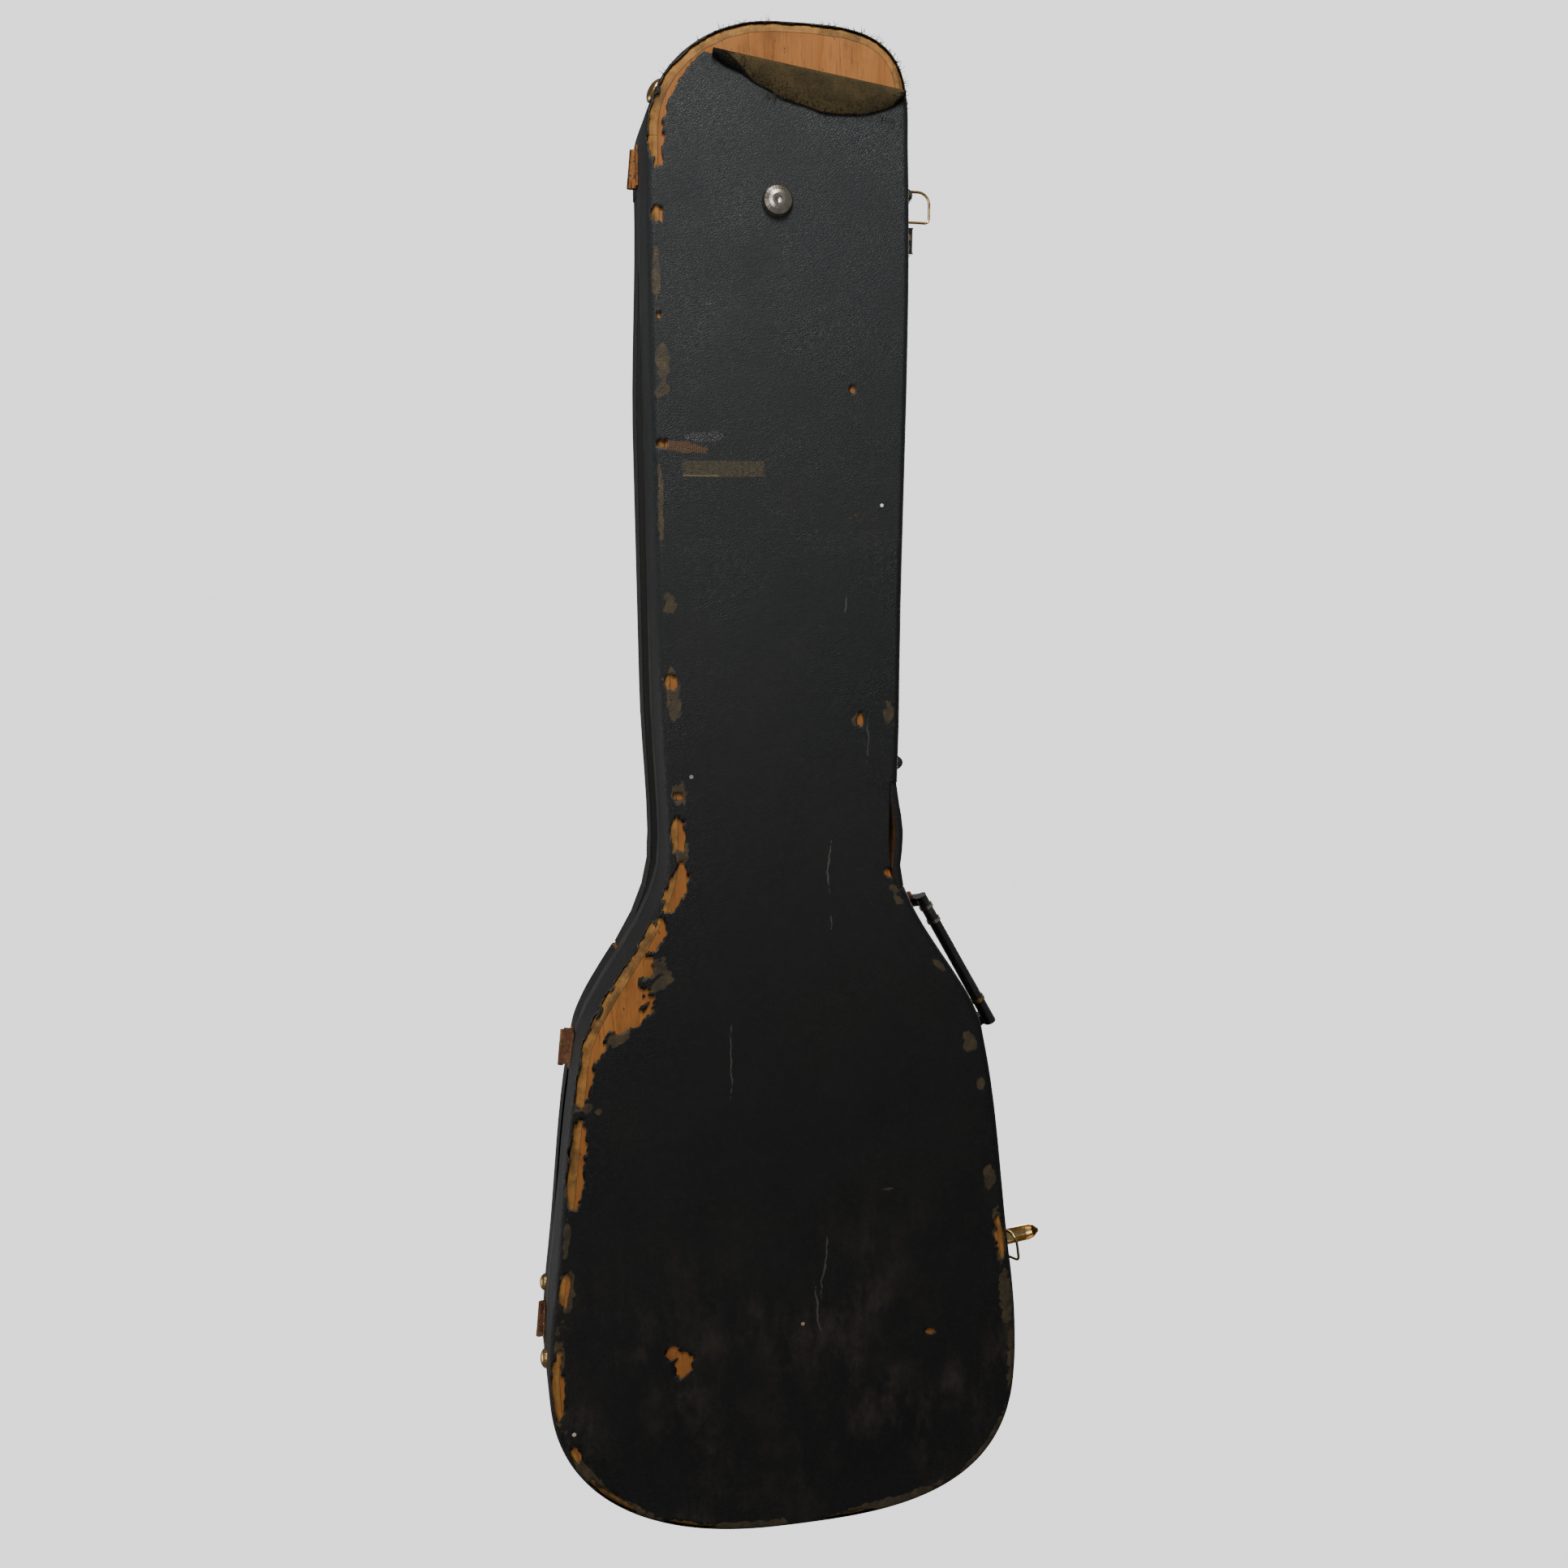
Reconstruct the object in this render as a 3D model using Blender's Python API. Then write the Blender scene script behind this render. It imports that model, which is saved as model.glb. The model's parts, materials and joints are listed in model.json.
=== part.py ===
"""A worn form-fit hard case for a bass guitar, lying on its base with the lid up.

+X runs from the head end to the lower bout, -Y is the side with the latches and the handle,
+Y the side with the hinges. The origin is under the middle of the whole case, on the floor.
Along the case, v is the distance from the head end. Depths are measured inwards from the
outline, which is the outer face of the covering.
"""

import math
from collections import namedtuple

import bmesh
import bpy
from mathutils import Matrix, Vector

# Driving dimensions, in metres.
LENGTH = 1.250
FOOT_HEIGHT = 0.008
SEAM_Z = 0.0817
TOP_Z = 0.115
MIDLINE_Y = 0.0177  # the open latch lever stands out further than the hinges do
GAP = 0.0003
BITE = 0.0002  # how far joined shapes reach into each other

HINGE_SIDE, LATCH_SIDE = 1, -1

# The outline, one half-width for each side.
HEAD_RUN = 0.090
HEAD_POWER = {HINGE_SIDE: 2.0, LATCH_SIDE: 3.8}
NECK_HALF = {HINGE_SIDE: 0.1030, LATCH_SIDE: 0.1068}
HEEL_HALF = {HINGE_SIDE: 0.1008, LATCH_SIDE: 0.0990}
HEEL_V = 0.520
WAIST_DIP = {HINGE_SIDE: 0.0045, LATCH_SIDE: 0.0030}
WAIST_V = 0.645
SHOULDER_START, SHOULDER_END = 0.655, 0.825
BOUT_HALF, BOUT_V, BOUT_FLARE = 0.1748, 0.834, 0.124
BOUT_EASE_V, BOUT_EASE = 1.040, 1.0
TAIL_RUN = 0.150
TAIL_POWER = {HINGE_SIDE: 2.35, LATCH_SIDE: 2.9}
STATION_TURN, STATION_STEP = math.radians(10), 0.025

# The two shells.
SKIN = 0.0007
PLY_OUT = SKIN + GAP
WALL_THICK = 0.007
WALL_IN = PLY_OUT + WALL_THICK
PANEL_THICK = 0.005
EDGE = 0.0045
EDGE_MITRE = math.tan(math.radians(22.5))
BAND_Z = 0.0640
BAND_PROUD = 0.0008
BASE_RIM_Z, LID_RIM_Z = SEAM_Z - 0.0005, SEAM_Z + 0.0005
HEAD_CUT_V, WAIST_CUT_V = 0.090, 0.660

# The walls that have come unglued: how far each stands out, and where it starts and ends.
LID_SPRUNG = {"side": HINGE_SIDE, "out": 0.0060, "rise": (0.115, 0.310), "fall": (0.655, 0.745)}
BASE_SPRUNG = {"side": LATCH_SIDE, "out": 0.0065, "rise": (0.600, 0.642), "fall": (0.650, 0.690)}

# The lining and what stands in the case.
LINING = 0.004
LINING_IN = WALL_IN + 2 * GAP + LINING + 0.0005
FLOOR_Z = FOOT_HEIGHT + PLY_OUT + PANEL_THICK + GAP + LINING + GAP
NECK_BLOCK_V, NECK_BLOCK_RUN, NECK_BLOCK_TOP = 0.245, 0.050, 0.070
NECK_NOTCH_HALF, NECK_NOTCH_Z = 0.038, 0.050
NECK_BLOCK_HALF = 0.0855
COMPARTMENT_V = (0.335, 0.541)
COMPARTMENT_HALF = 0.0835
PARTITION_THICK, PARTITION_TOP = 0.006, 0.044
COMPARTMENT_LID_THICK = 0.004
PAD_THICK, PAD_TOP = 0.018, 0.056

# The hinge line runs straight, at a slant, just outside the head end and the lower bout.
HINGE_LINE_V, HINGE_LINE_HALF, HINGE_LINE_SLOPE = 0.090, 0.1068, 0.103
HINGES = {"head": 0.098, "shoulder": 0.830, "bout": 1.073}
HINGE_LENGTH, KNUCKLE_RADIUS, HINGE_PIN_RADIUS = 0.031, 0.0026, 0.0011
LEAF_THICK, LEAF_HIGH = 0.0012, 0.0135

# The latches: place, how far the lever is open and where the bail points, 0 being down.
LATCHES = {"head": (0.121, 0, 90), "waist": (0.587, 0, 160), "bout": (1.034, 90, 24)}
LATCH_PIVOT_Z, LATCH_PIVOT_OUT = 0.0705, 0.0062
LEVER_LENGTH, LEVER_HALF, LEVER_RISE, LEVER_METAL = 0.042, 0.0080, 0.0085, 0.0010
BAIL_LENGTH, BAIL_HALF, BAIL_WIRE = 0.030, 0.0125, 0.0012
BRACKET_V, BRACKET_Z = 0.158, 0.040

# The handle hangs beside the shoulder: the ends of its grip line, as (v, y), and its pivot.
HANDLE_LINE = (0.702, -0.1256), (0.825, -0.1937)
HANDLE_PIVOT_Z, HANDLE_PIVOT_IN, HANDLE_DROP = 0.061, 0.0080, 0.0150
GRIP_HALF, GRIP_THICK, GRIP_WIDE = 0.0450, 0.0052, 0.0068
HANDLE_HALF = 0.0665

Station = namedtuple("Station", "point mitre v side")


def clear_scene():
    for obj in list(bpy.data.objects):
        bpy.data.objects.remove(obj, do_unlink=True)


def smooth(low, high, value):
    """0 below low, 1 above high and an S-curve between them."""
    t = min(max((value - low) / (high - low), 0.0), 1.0)
    return t * t * (3 - 2 * t)


# ---------------------------------------------------------------- the outline


def half_width(v, side):
    """Half the case's width at v, between the two round ends."""
    share = (min(v, HEEL_V) - HEAD_RUN) / (HEEL_V - HEAD_RUN)
    neck = NECK_HALF[side] + (HEEL_HALF[side] - NECK_HALF[side]) * share
    neck -= WAIST_DIP[side] * smooth(HEEL_V, WAIST_V, v)
    bout = BOUT_HALF + BOUT_FLARE * (v - BOUT_V)
    bout -= BOUT_EASE * max(0.0, v - BOUT_EASE_V) ** 2
    return neck + (bout - neck) * smooth(SHOULDER_START, SHOULDER_END, v)


def quarter(run, half, power, count=60):
    """A quarter of a superellipse, from its blunt end to its side."""
    steps = [math.radians(90) * i / count for i in range(count)]
    return [
        (run * (1 - math.cos(a) ** (2 / power)), half * math.sin(a) ** (2 / power)) for a in steps
    ]


def side_curve(side):
    """One side's outline from the middle of the head end to the middle of the tail, finely."""
    tail_v = LENGTH - TAIL_RUN
    points = quarter(HEAD_RUN, half_width(HEAD_RUN, side), HEAD_POWER[side])
    count = 300
    for i in range(count):
        v = HEAD_RUN + (tail_v - HEAD_RUN) * i / count
        points.append((v, half_width(v, side)))
    tail = quarter(TAIL_RUN, half_width(tail_v, side), TAIL_POWER[side])
    points += [(LENGTH - run, half) for run, half in reversed(tail)]
    return [Vector((v, side * half)) for v, half in points]


def thinned(points):
    """Fewer points: a new one once the curve has turned or run far enough."""
    kept = [points[0]]
    turned = 0.0
    for before, here, after in zip(points, points[1:], points[2:]):
        turned += abs((here - before).angle_signed(after - here, 0.0))
        if turned >= STATION_TURN or (here - kept[-1]).length >= STATION_STEP:
            kept.append(here)
            turned = 0.0
    return kept + [points[-1]]


def outline():
    """The stations of each side, from head to tail. Their mitres point out of the case."""
    hinge = thinned(side_curve(HINGE_SIDE))
    latch = thinned(side_curve(LATCH_SIDE))
    loop = hinge + latch[-2:0:-1]
    stations = []
    for i, here in enumerate(loop):
        into = (here - loop[i - 1]).normalized()
        out = (loop[(i + 1) % len(loop)] - here).normalized()
        normal = Vector((-into.y - out.y, into.x + out.x)).normalized()
        mitre = normal / normal.dot(Vector((-into.y, into.x)))
        stations.append((here, mitre))
    tail = len(hinge) - 1
    found = {HINGE_SIDE: stations[: tail + 1], LATCH_SIDE: [stations[0]] + stations[: tail - 1 : -1]}
    return {
        side: [Station(point, mitre, point.x, side) for point, mitre in found[side]] for side in found
    }


def between(first, second, v):
    share = (v - first.v) / (second.v - first.v)
    return Station(
        first.point.lerp(second.point, share), first.mitre.lerp(second.mitre, share), v, first.side
    )


def divided(row, places):
    """A side's stations with more of them at these places, so that every layer bends there."""
    for v in places:
        after = next(i for i, station in enumerate(row) if station.v > v)
        row.insert(after, between(row[after - 1], row[after], v))
    return row


def bends(bow):
    (rise, risen), (fall, fallen) = bow["rise"], bow["fall"]
    places = [rise, (rise + risen) / 2, risen, fall, (fall + fallen) / 2, fallen]
    return places + [WAIST_CUT_V]


OUTLINE = outline()
for sprung in (LID_SPRUNG, BASE_SPRUNG):
    divided(OUTLINE[sprung["side"]], bends(sprung))


def station_at(v, side):
    row = OUTLINE[side]
    for first, second in zip(row, row[1:]):
        if first.v <= v <= second.v:
            return between(first, second, v)
    return row[-1]


def stretch(side, start, end):
    """The stations of one side from start to end, with one at each of those two places."""
    inner = [s for s in OUTLINE[side] if start + 1e-4 < s.v < end - 1e-4]
    return [station_at(start, side)] + inner + [station_at(end, side)]


def head_stretch(v):
    return stretch(LATCH_SIDE, 0, v)[::-1] + stretch(HINGE_SIDE, 0, v)[1:]


def tail_stretch(v):
    return stretch(HINGE_SIDE, v, LENGTH) + stretch(LATCH_SIDE, v, LENGTH)[-2::-1]


def tail_half(side, v):
    """From v to just short of the middle of the tail, where the two sides' walls meet."""
    run = stretch(side, v, LENGTH)
    last = run[-1]
    aside = Vector((0, side * GAP / 2))
    return run[:-1] + [Station(last.point + aside, last.mitre, last.v, side)]


def full_loop():
    return OUTLINE[HINGE_SIDE] + OUTLINE[LATCH_SIDE][-2:0:-1]


def case_point(v, y, z):
    """A place in the case as a point in the world."""
    return Vector((v - LENGTH / 2, y + MIDLINE_Y, z))


def wall_frame(v, side, z):
    """A frame on the case's outer face: x towards the tail, z up, y to the hinge side."""
    before, after = station_at(v - 0.008, side), station_at(v + 0.008, side)
    along = (after.point - before.point).normalized()
    here = station_at(v, side).point
    turn = Matrix.Rotation(math.atan2(along.y, along.x), 4, "Z")
    return Matrix.Translation(case_point(here.x, here.y, z)) @ turn


# ---------------------------------------------------------------- building blocks


def finish(colour, roughness, metallic=0.0):
    return {"colour": colour, "roughness": roughness, "metallic": metallic}


PLY = finish((0.34, 0.16, 0.055), 0.75)
VINYL = finish((0.012, 0.014, 0.015), 0.6)
BAND = finish((0.010, 0.010, 0.011), 0.45)
PLUSH = finish((0.030, 0.012, 0.016), 0.95)
BOARD = finish((0.05, 0.045, 0.04), 0.9)
NICKEL = finish((0.55, 0.50, 0.42), 0.35, 1.0)
BRASS = finish((0.60, 0.43, 0.18), 0.3, 1.0)
RUSTY = finish((0.22, 0.10, 0.05), 0.7, 0.6)
GRIP = finish((0.010, 0.010, 0.010), 0.3)


def add_object(name, mesh, look):
    material = bpy.data.materials.new(name)
    material.use_nodes = True
    shader = material.node_tree.nodes["Principled BSDF"]
    shader.inputs["Base Color"].default_value = (*look["colour"], 1.0)
    shader.inputs["Roughness"].default_value = look["roughness"]
    shader.inputs["Metallic"].default_value = look["metallic"]
    mesh.materials.append(material)
    mesh.shade_smooth()
    mesh.set_sharp_from_angle(angle=math.radians(30))
    obj = bpy.data.objects.new(name, mesh)
    bpy.context.scene.collection.objects.link(obj)
    return obj


def mesh_object(name, points, faces, look):
    """An object from points and faces, with its faces turned outwards."""
    shape = bmesh.new()
    corners = [shape.verts.new(point) for point in points]
    for face in faces:
        shape.faces.new([corners[i] for i in face])
    bmesh.ops.recalc_face_normals(shape, faces=shape.faces)
    mesh = bpy.data.meshes.new(name)
    shape.to_mesh(mesh)
    shape.free()
    return add_object(name, mesh, look)


def bowed(station, bow):
    """How far a wall stands out of its place at a station."""
    if bow is None or station.side != bow["side"]:
        return 0.0
    return bow["out"] * smooth(*bow["rise"], station.v) * (1 - smooth(*bow["fall"], station.v))


def ring_points(stations, profile, bow=None):
    points = []
    for station in stations:
        outwards = station.mitre.normalized() * bowed(station, bow)
        for depth, z in profile:
            place = station.point - station.mitre * depth + outwards
            points.append(case_point(place.x, place.y, z))
    return points


def swept(name, stations, profile, look, bow=None, closed=False):
    """A closed profile of (depth, z) swept along the outline, with flat ends or as one ring."""
    size = len(profile)
    rings = len(stations)
    faces = []
    for i in range(rings if closed else rings - 1):
        here, there = i * size, (i + 1) % rings * size
        for j in range(size):
            k = (j + 1) % size
            faces.append((here + j, here + k, there + k, there + j))
    if not closed:
        faces.append(tuple(range(size)))
        faces.append(tuple((rings - 1) * size + j for j in range(size)))
    return mesh_object(name, ring_points(stations, profile, bow), faces, look)


def tray(name, profile, look):
    """The whole outline as a sheet or a tray: an open profile of (depth, z), capped."""
    stations = full_loop()
    size, rings = len(profile), len(stations)
    faces = []
    for i in range(rings):
        here, there = i * size, (i + 1) % rings * size
        faces += [(here + j, here + j + 1, there + j + 1, there + j) for j in range(size - 1)]
    faces.append(tuple(i * size for i in range(rings)))
    faces.append(tuple(i * size + size - 1 for i in range(rings)))
    return mesh_object(name, ring_points(stations, profile), faces, look)


def prism(name, depth, low, high, look):
    return tray(name, [(depth, low), (depth, high)], look)


def block(name, low, high, look):
    (x0, y0, z0), (x1, y1, z1) = low, high
    points = [(x, y, z) for x in (x0, x1) for y in (y0, y1) for z in (z0, z1)]
    faces = [(0, 1, 3, 2), (4, 5, 7, 6), (0, 1, 5, 4), (2, 3, 7, 6), (0, 2, 6, 4), (1, 3, 7, 5)]
    return mesh_object(name, points, faces, look)


def extruded(name, polygon, start, end, look):
    """A polygon of (y, z) run along X from start to end."""
    size = len(polygon)
    points = [(x, y, z) for x in (start, end) for y, z in polygon]
    faces = [tuple(range(size)), tuple(range(size, 2 * size))]
    faces += [(j, (j + 1) % size, size + (j + 1) % size, size + j) for j in range(size)]
    return mesh_object(name, points, faces, look)


def ellipse(half_y, half_z, sides, centre=(0.0, 0.0)):
    turns = [math.tau * (i + 0.5) / sides for i in range(sides)]
    return [(centre[0] + half_y * math.cos(a), centre[1] + half_z * math.sin(a)) for a in turns]


def rod(name, radius, start, end, look, sides=16, centre=(0.0, 0.0)):
    return extruded(name, ellipse(radius, radius, sides, centre), start, end, look)


def turned(name, profile, look, sides=24):
    """A solid of revolution about Z, from (radius, z) points that start and end on the axis."""
    points = [(0.0, 0.0, profile[0][1]), (0.0, 0.0, profile[-1][1])]
    rings = profile[1:-1]
    for radius, z in rings:
        turns = [math.tau * i / sides for i in range(sides)]
        points += [(radius * math.cos(a), radius * math.sin(a), z) for a in turns]
    faces = []
    for i in range(sides):
        k = (i + 1) % sides
        faces.append((0, 2 + i, 2 + k))
        last = 2 + (len(rings) - 1) * sides
        faces.append((1, last + k, last + i))
        for j in range(len(rings) - 1):
            here, there = 2 + j * sides, 2 + (j + 1) * sides
            faces.append((here + i, here + k, there + k, there + i))
    return mesh_object(name, points, faces, look)


def combined(body, others, operation="UNION"):
    """Adds the others to the body, or cuts them from it. They stay as hidden helpers."""
    for other in others:
        step = body.modifiers.new(other.name, "BOOLEAN")
        step.operation = operation
        step.object = other
        other.hide_render = True
        other.display_type = "WIRE"
        other.parent = body
    return body


def moved(obj, matrix):
    obj.matrix_basis = matrix
    return obj


def empty(name, matrix):
    """A pivot. Pieces that turn about it are its children."""
    found = bpy.data.objects.new(name, None)
    bpy.context.scene.collection.objects.link(found)
    return moved(found, matrix)


def hang(obj, pivot, place=(0, 0, 0), turn=(0, 0, 0)):
    """Puts an object that was modelled about its own origin at a place in a pivot's frame."""
    obj.parent = pivot
    obj.location = place
    obj.rotation_euler = turn
    return obj


def keep_on(pivot, objects):
    """Parents objects that were modelled in place, without moving them."""
    for obj in objects:
        obj.parent = pivot
        obj.matrix_parent_inverse = pivot.matrix_basis.inverted()


# ---------------------------------------------------------------- the shells


def corner(depth, low_z, up):
    """The two points of the bevelled outer edge, at one depth under the covering's face."""
    return [
        (depth, low_z + up * (EDGE + depth * EDGE_MITRE)),
        (EDGE + depth * EDGE_MITRE, low_z + up * depth),
    ]


def walls(shell, face_z, rim_z, bow):
    """The bent plywood walls of one shell, in five pieces that butt together."""
    up = 1 if rim_z > face_z else -1
    side, foot = corner(PLY_OUT, face_z, up)
    profile = [(PLY_OUT, rim_z), side, foot, (WALL_IN, face_z + up * PLY_OUT), (WALL_IN, rim_z)]
    trim = GAP / 2
    runs = {
        "head": head_stretch(HEAD_CUT_V - trim),
        "neck_hinge": stretch(HINGE_SIDE, HEAD_CUT_V + trim, WAIST_CUT_V - trim),
        "neck_latch": stretch(LATCH_SIDE, HEAD_CUT_V + trim, WAIST_CUT_V - trim),
        "body_hinge": tail_half(HINGE_SIDE, WAIST_CUT_V + trim),
        "body_latch": tail_half(LATCH_SIDE, WAIST_CUT_V + trim),
    }
    return [swept(f"{shell}_wall_{run}", runs[run], profile, PLY, bow) for run in runs]


def covering(shell, face_z, rim_z, bow):
    """The vinyl over one shell. Along the sprung wall it is torn off the panel, as a strip."""
    up = 1 if rim_z > face_z else -1
    outer = [(0.0, rim_z)] + corner(0.0, face_z, up)
    inner = corner(SKIN, face_z, up)[::-1] + [(SKIN, rim_z)]
    whole = tray(f"{shell}_covering", outer[::-1] + inner[::-1], VINYL)
    start, end = bow["rise"][0], bow["fall"][1]
    clear = 0.001
    low, high = sorted((face_z - up * clear, rim_z + up * clear))
    around = [(-clear, low), (-clear, high), (WALL_IN, high), (WALL_IN, low)]
    torn = swept(f"{shell}_torn", stretch(bow["side"], start, end), around, VINYL)
    combined(whole, [torn], "DIFFERENCE")
    run = stretch(bow["side"], start + GAP, end - GAP)
    edge = [(WALL_IN, face_z), (WALL_IN, face_z + up * SKIN)]
    strip = swept(f"{shell}_covering_sprung", run, outer + edge + inner, VINYL, bow)
    return [whole, strip]


def base_shell():
    low = FOOT_HEIGHT + PLY_OUT
    prism("base_panel", WALL_IN + GAP, low, low + PANEL_THICK, PLY)
    walls("base", FOOT_HEIGHT, BASE_RIM_Z, BASE_SPRUNG)
    covering("base", FOOT_HEIGHT, BAND_Z - GAP, BASE_SPRUNG)
    band = [(-BAND_PROUD, BAND_Z), (-BAND_PROUD, BASE_RIM_Z), (SKIN, BASE_RIM_Z), (SKIN, BAND_Z)]
    swept("rim_band", full_loop(), band, BAND, BASE_SPRUNG, closed=True)


def lid_shell():
    high = TOP_Z - PLY_OUT
    pieces = [prism("lid_panel", WALL_IN + GAP, high - PANEL_THICK, high, PLY)]
    pieces += walls("lid", TOP_Z, LID_RIM_Z, LID_SPRUNG)
    pieces += covering("lid", TOP_Z, LID_RIM_Z, LID_SPRUNG)
    lining_top = high - PANEL_THICK - GAP
    depth = WALL_IN + 2 * GAP
    pieces.append(prism("lid_lining", depth, lining_top - LINING, lining_top, PLUSH))
    return pieces


# ---------------------------------------------------------------- the inside


def case_block(name, v_range, y_range, z_range, look):
    low, high = (case_point(v_range[i], y_range[i], z_range[i]) for i in (0, 1))
    return block(name, low, high, look)


def linings():
    low = FOOT_HEIGHT + PLY_OUT + PANEL_THICK + GAP
    prism("floor_lining", WALL_IN + 2 * GAP, low, low + LINING, PLUSH)
    inner = WALL_IN + GAP
    outer = inner + LINING
    rim = BASE_RIM_Z - 0.003
    profile = [(inner, FLOOR_Z), (inner, rim), (outer, rim), (outer, FLOOR_Z)]
    swept("wall_lining", full_loop(), profile, PLUSH, closed=True)


def neck_block():
    """The block that the instrument's neck lies on, with a notch for it."""
    half, notch = NECK_BLOCK_HALF, NECK_NOTCH_HALF
    start = NECK_BLOCK_V - LENGTH / 2
    shape = [(-half, FLOOR_Z), (half, FLOOR_Z), (half, NECK_BLOCK_TOP), (notch, NECK_BLOCK_TOP)]
    shape += [(notch, NECK_NOTCH_Z), (-notch, NECK_NOTCH_Z)]
    shape += [(-notch, NECK_BLOCK_TOP), (-half, NECK_BLOCK_TOP)]
    shape = [(y + MIDLINE_Y, z) for y, z in shape]
    extruded("neck_block", shape, start, start + NECK_BLOCK_RUN, PLUSH)


def compartment():
    """The accessory box under the neck: two partitions and a lid with a pull tab."""
    start, end = COMPARTMENT_V
    half = COMPARTMENT_HALF
    places = {"partition_head": start, "partition_bout": end - PARTITION_THICK}
    for name, v in places.items():
        run = (v, v + PARTITION_THICK)
        case_block(name, run, (-half, half), (FLOOR_Z, PARTITION_TOP), BOARD)
    low = PARTITION_TOP + GAP
    high = low + COMPARTMENT_LID_THICK
    axis = empty(
        "compartment_lid_axis", Matrix.Translation(case_point(start, half, low + LINING / 2))
    )
    lid = case_block("compartment_lid", (start, end), (-half, half - 0.002), (low, high), PLUSH)
    middle = (start + end) / 2
    tab_run = (middle - 0.012, middle + 0.012)
    tab_high = (high + GAP, high + 0.0025)
    tab = case_block("pull_tab", tab_run, (-half, -half + 0.030), tab_high, GRIP)
    keep_on(axis, [lid, tab])


def pads():
    """The foam pads that hold the instrument's body, on the shoulders and in the tail."""
    inner = LINING_IN
    outer = inner + PAD_THICK
    profile = [(inner, FLOOR_Z), (inner, PAD_TOP), (outer, PAD_TOP), (outer, FLOOR_Z)]
    swept("shoulder_pad_hinge", stretch(HINGE_SIDE, 0.710, 0.800), profile, PLUSH)
    swept("shoulder_pad_latch", stretch(LATCH_SIDE, 0.710, 0.800), profile, PLUSH)
    swept("tail_pad", tail_stretch(1.202), profile, PLUSH)


# ---------------------------------------------------------------- feet and studs


def foot():
    """The one foot that is left, a domed disc with a dimple."""
    radius = 0.0127
    profile = [(0, -GAP), (radius, -GAP), (radius, -0.0022), (0.0110, -0.0055), (0.0075, -0.0075)]
    profile += [(0.0050, -FOOT_HEIGHT), (0.0030, -FOOT_HEIGHT), (0.0018, -0.0068), (0, -0.0064)]
    moved(turned("foot", profile, NICKEL), Matrix.Translation(case_point(0.1365, 0.001, FOOT_HEIGHT)))


def stud(name, v, z, radius, out):
    """A domed stud on the hinge side's wall, its axis along the wall's outward direction."""
    count = 5
    profile = [(0, 0), (radius, 0)]
    for i in range(count):
        angle = math.radians(90) * i / count
        profile.append((radius * math.cos(angle), out * (0.15 + 0.85 * math.sin(angle))))
    profile.append((0, out))
    dome = turned(name, profile, BRASS, sides=20)
    place = wall_frame(v, HINGE_SIDE, z) @ Matrix.Translation((0, GAP, 0))
    return moved(dome, place @ Matrix.Rotation(math.radians(-90), 4, "X"))


# ---------------------------------------------------------------- hinges


def hinge_line_half(v):
    return HINGE_LINE_HALF + HINGE_LINE_SLOPE * (v - HINGE_LINE_V)


def leaf(name, up, out, on_wall, to_line, spans):
    """A plate on the wall, a web out to the hinge line and the knuckles on these spans of it."""
    half, near = HINGE_LENGTH / 2, 0.0018
    low, high = sorted((up * near, up * (near + LEAF_HIGH)))
    plate = block(f"{name}_leaf", (-half, out, low), (half, out + LEAF_THICK, high), RUSTY)
    low, high = sorted((up * (near + BITE), up * (near + LEAF_THICK)))
    root, end = (BITE - half, out + BITE, low), (half - BITE, to_line.translation.y, high)
    web = block(f"{name}_web", root, end, RUSTY)
    knuckles = []
    for i, (start, end) in enumerate(spans):
        knuckle = rod(f"{name}_knuckle_{i}", KNUCKLE_RADIUS, start, end, RUSTY)
        knuckles.append(moved(knuckle, to_line))
    combined(plate, [web] + knuckles)
    return moved(plate, on_wall)


def cleared(plate, to_line, spans):
    """Cuts room in a leaf for the other leaf's knuckles."""
    clear = KNUCKLE_RADIUS + GAP
    for i, (start, end) in enumerate(spans):
        low, high = (start, -clear, -clear), (end, clear, clear)
        room = block(f"{plate.name}_room_{i}", low, high, RUSTY)
        combined(plate, [moved(room, to_line)], "DIFFERENCE")


def hinge(name, v):
    """A butt hinge: the base's leaf has the outer knuckles and the pin, the lid's the middle one."""
    line = Matrix.Rotation(math.atan(HINGE_LINE_SLOPE), 4, "Z")
    centre = Matrix.Translation(case_point(v, hinge_line_half(v), SEAM_Z)) @ line
    on_wall = wall_frame(v, HINGE_SIDE, SEAM_Z)
    to_line = on_wall.inverted() @ centre
    half, sixth = HINGE_LENGTH / 2, HINGE_LENGTH / 6
    outer, middle = [(-half, -sixth), (sixth, half)], [(-sixth - GAP, sixth + GAP)]
    base = leaf(f"hinge_{name}_base", -1, BAND_PROUD + GAP, on_wall, to_line, outer)
    cleared(base, to_line, middle)
    pin_half = half - 2 * BITE
    pin = rod(f"hinge_{name}_pin", HINGE_PIN_RADIUS, -pin_half, pin_half, RUSTY, sides=12)
    combined(base, [moved(pin, to_line)])
    lid = leaf(f"hinge_{name}_lid", 1, GAP, on_wall, to_line, middle)
    cleared(lid, to_line, [(-half - BITE, -sixth), (sixth, half + BITE)])
    bore = rod(f"hinge_{name}_bore", HINGE_PIN_RADIUS + GAP, -half, half, RUSTY, sides=12)
    combined(lid, [moved(bore, to_line)], "DIFFERENCE")
    return lid


# ---------------------------------------------------------------- latches


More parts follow.
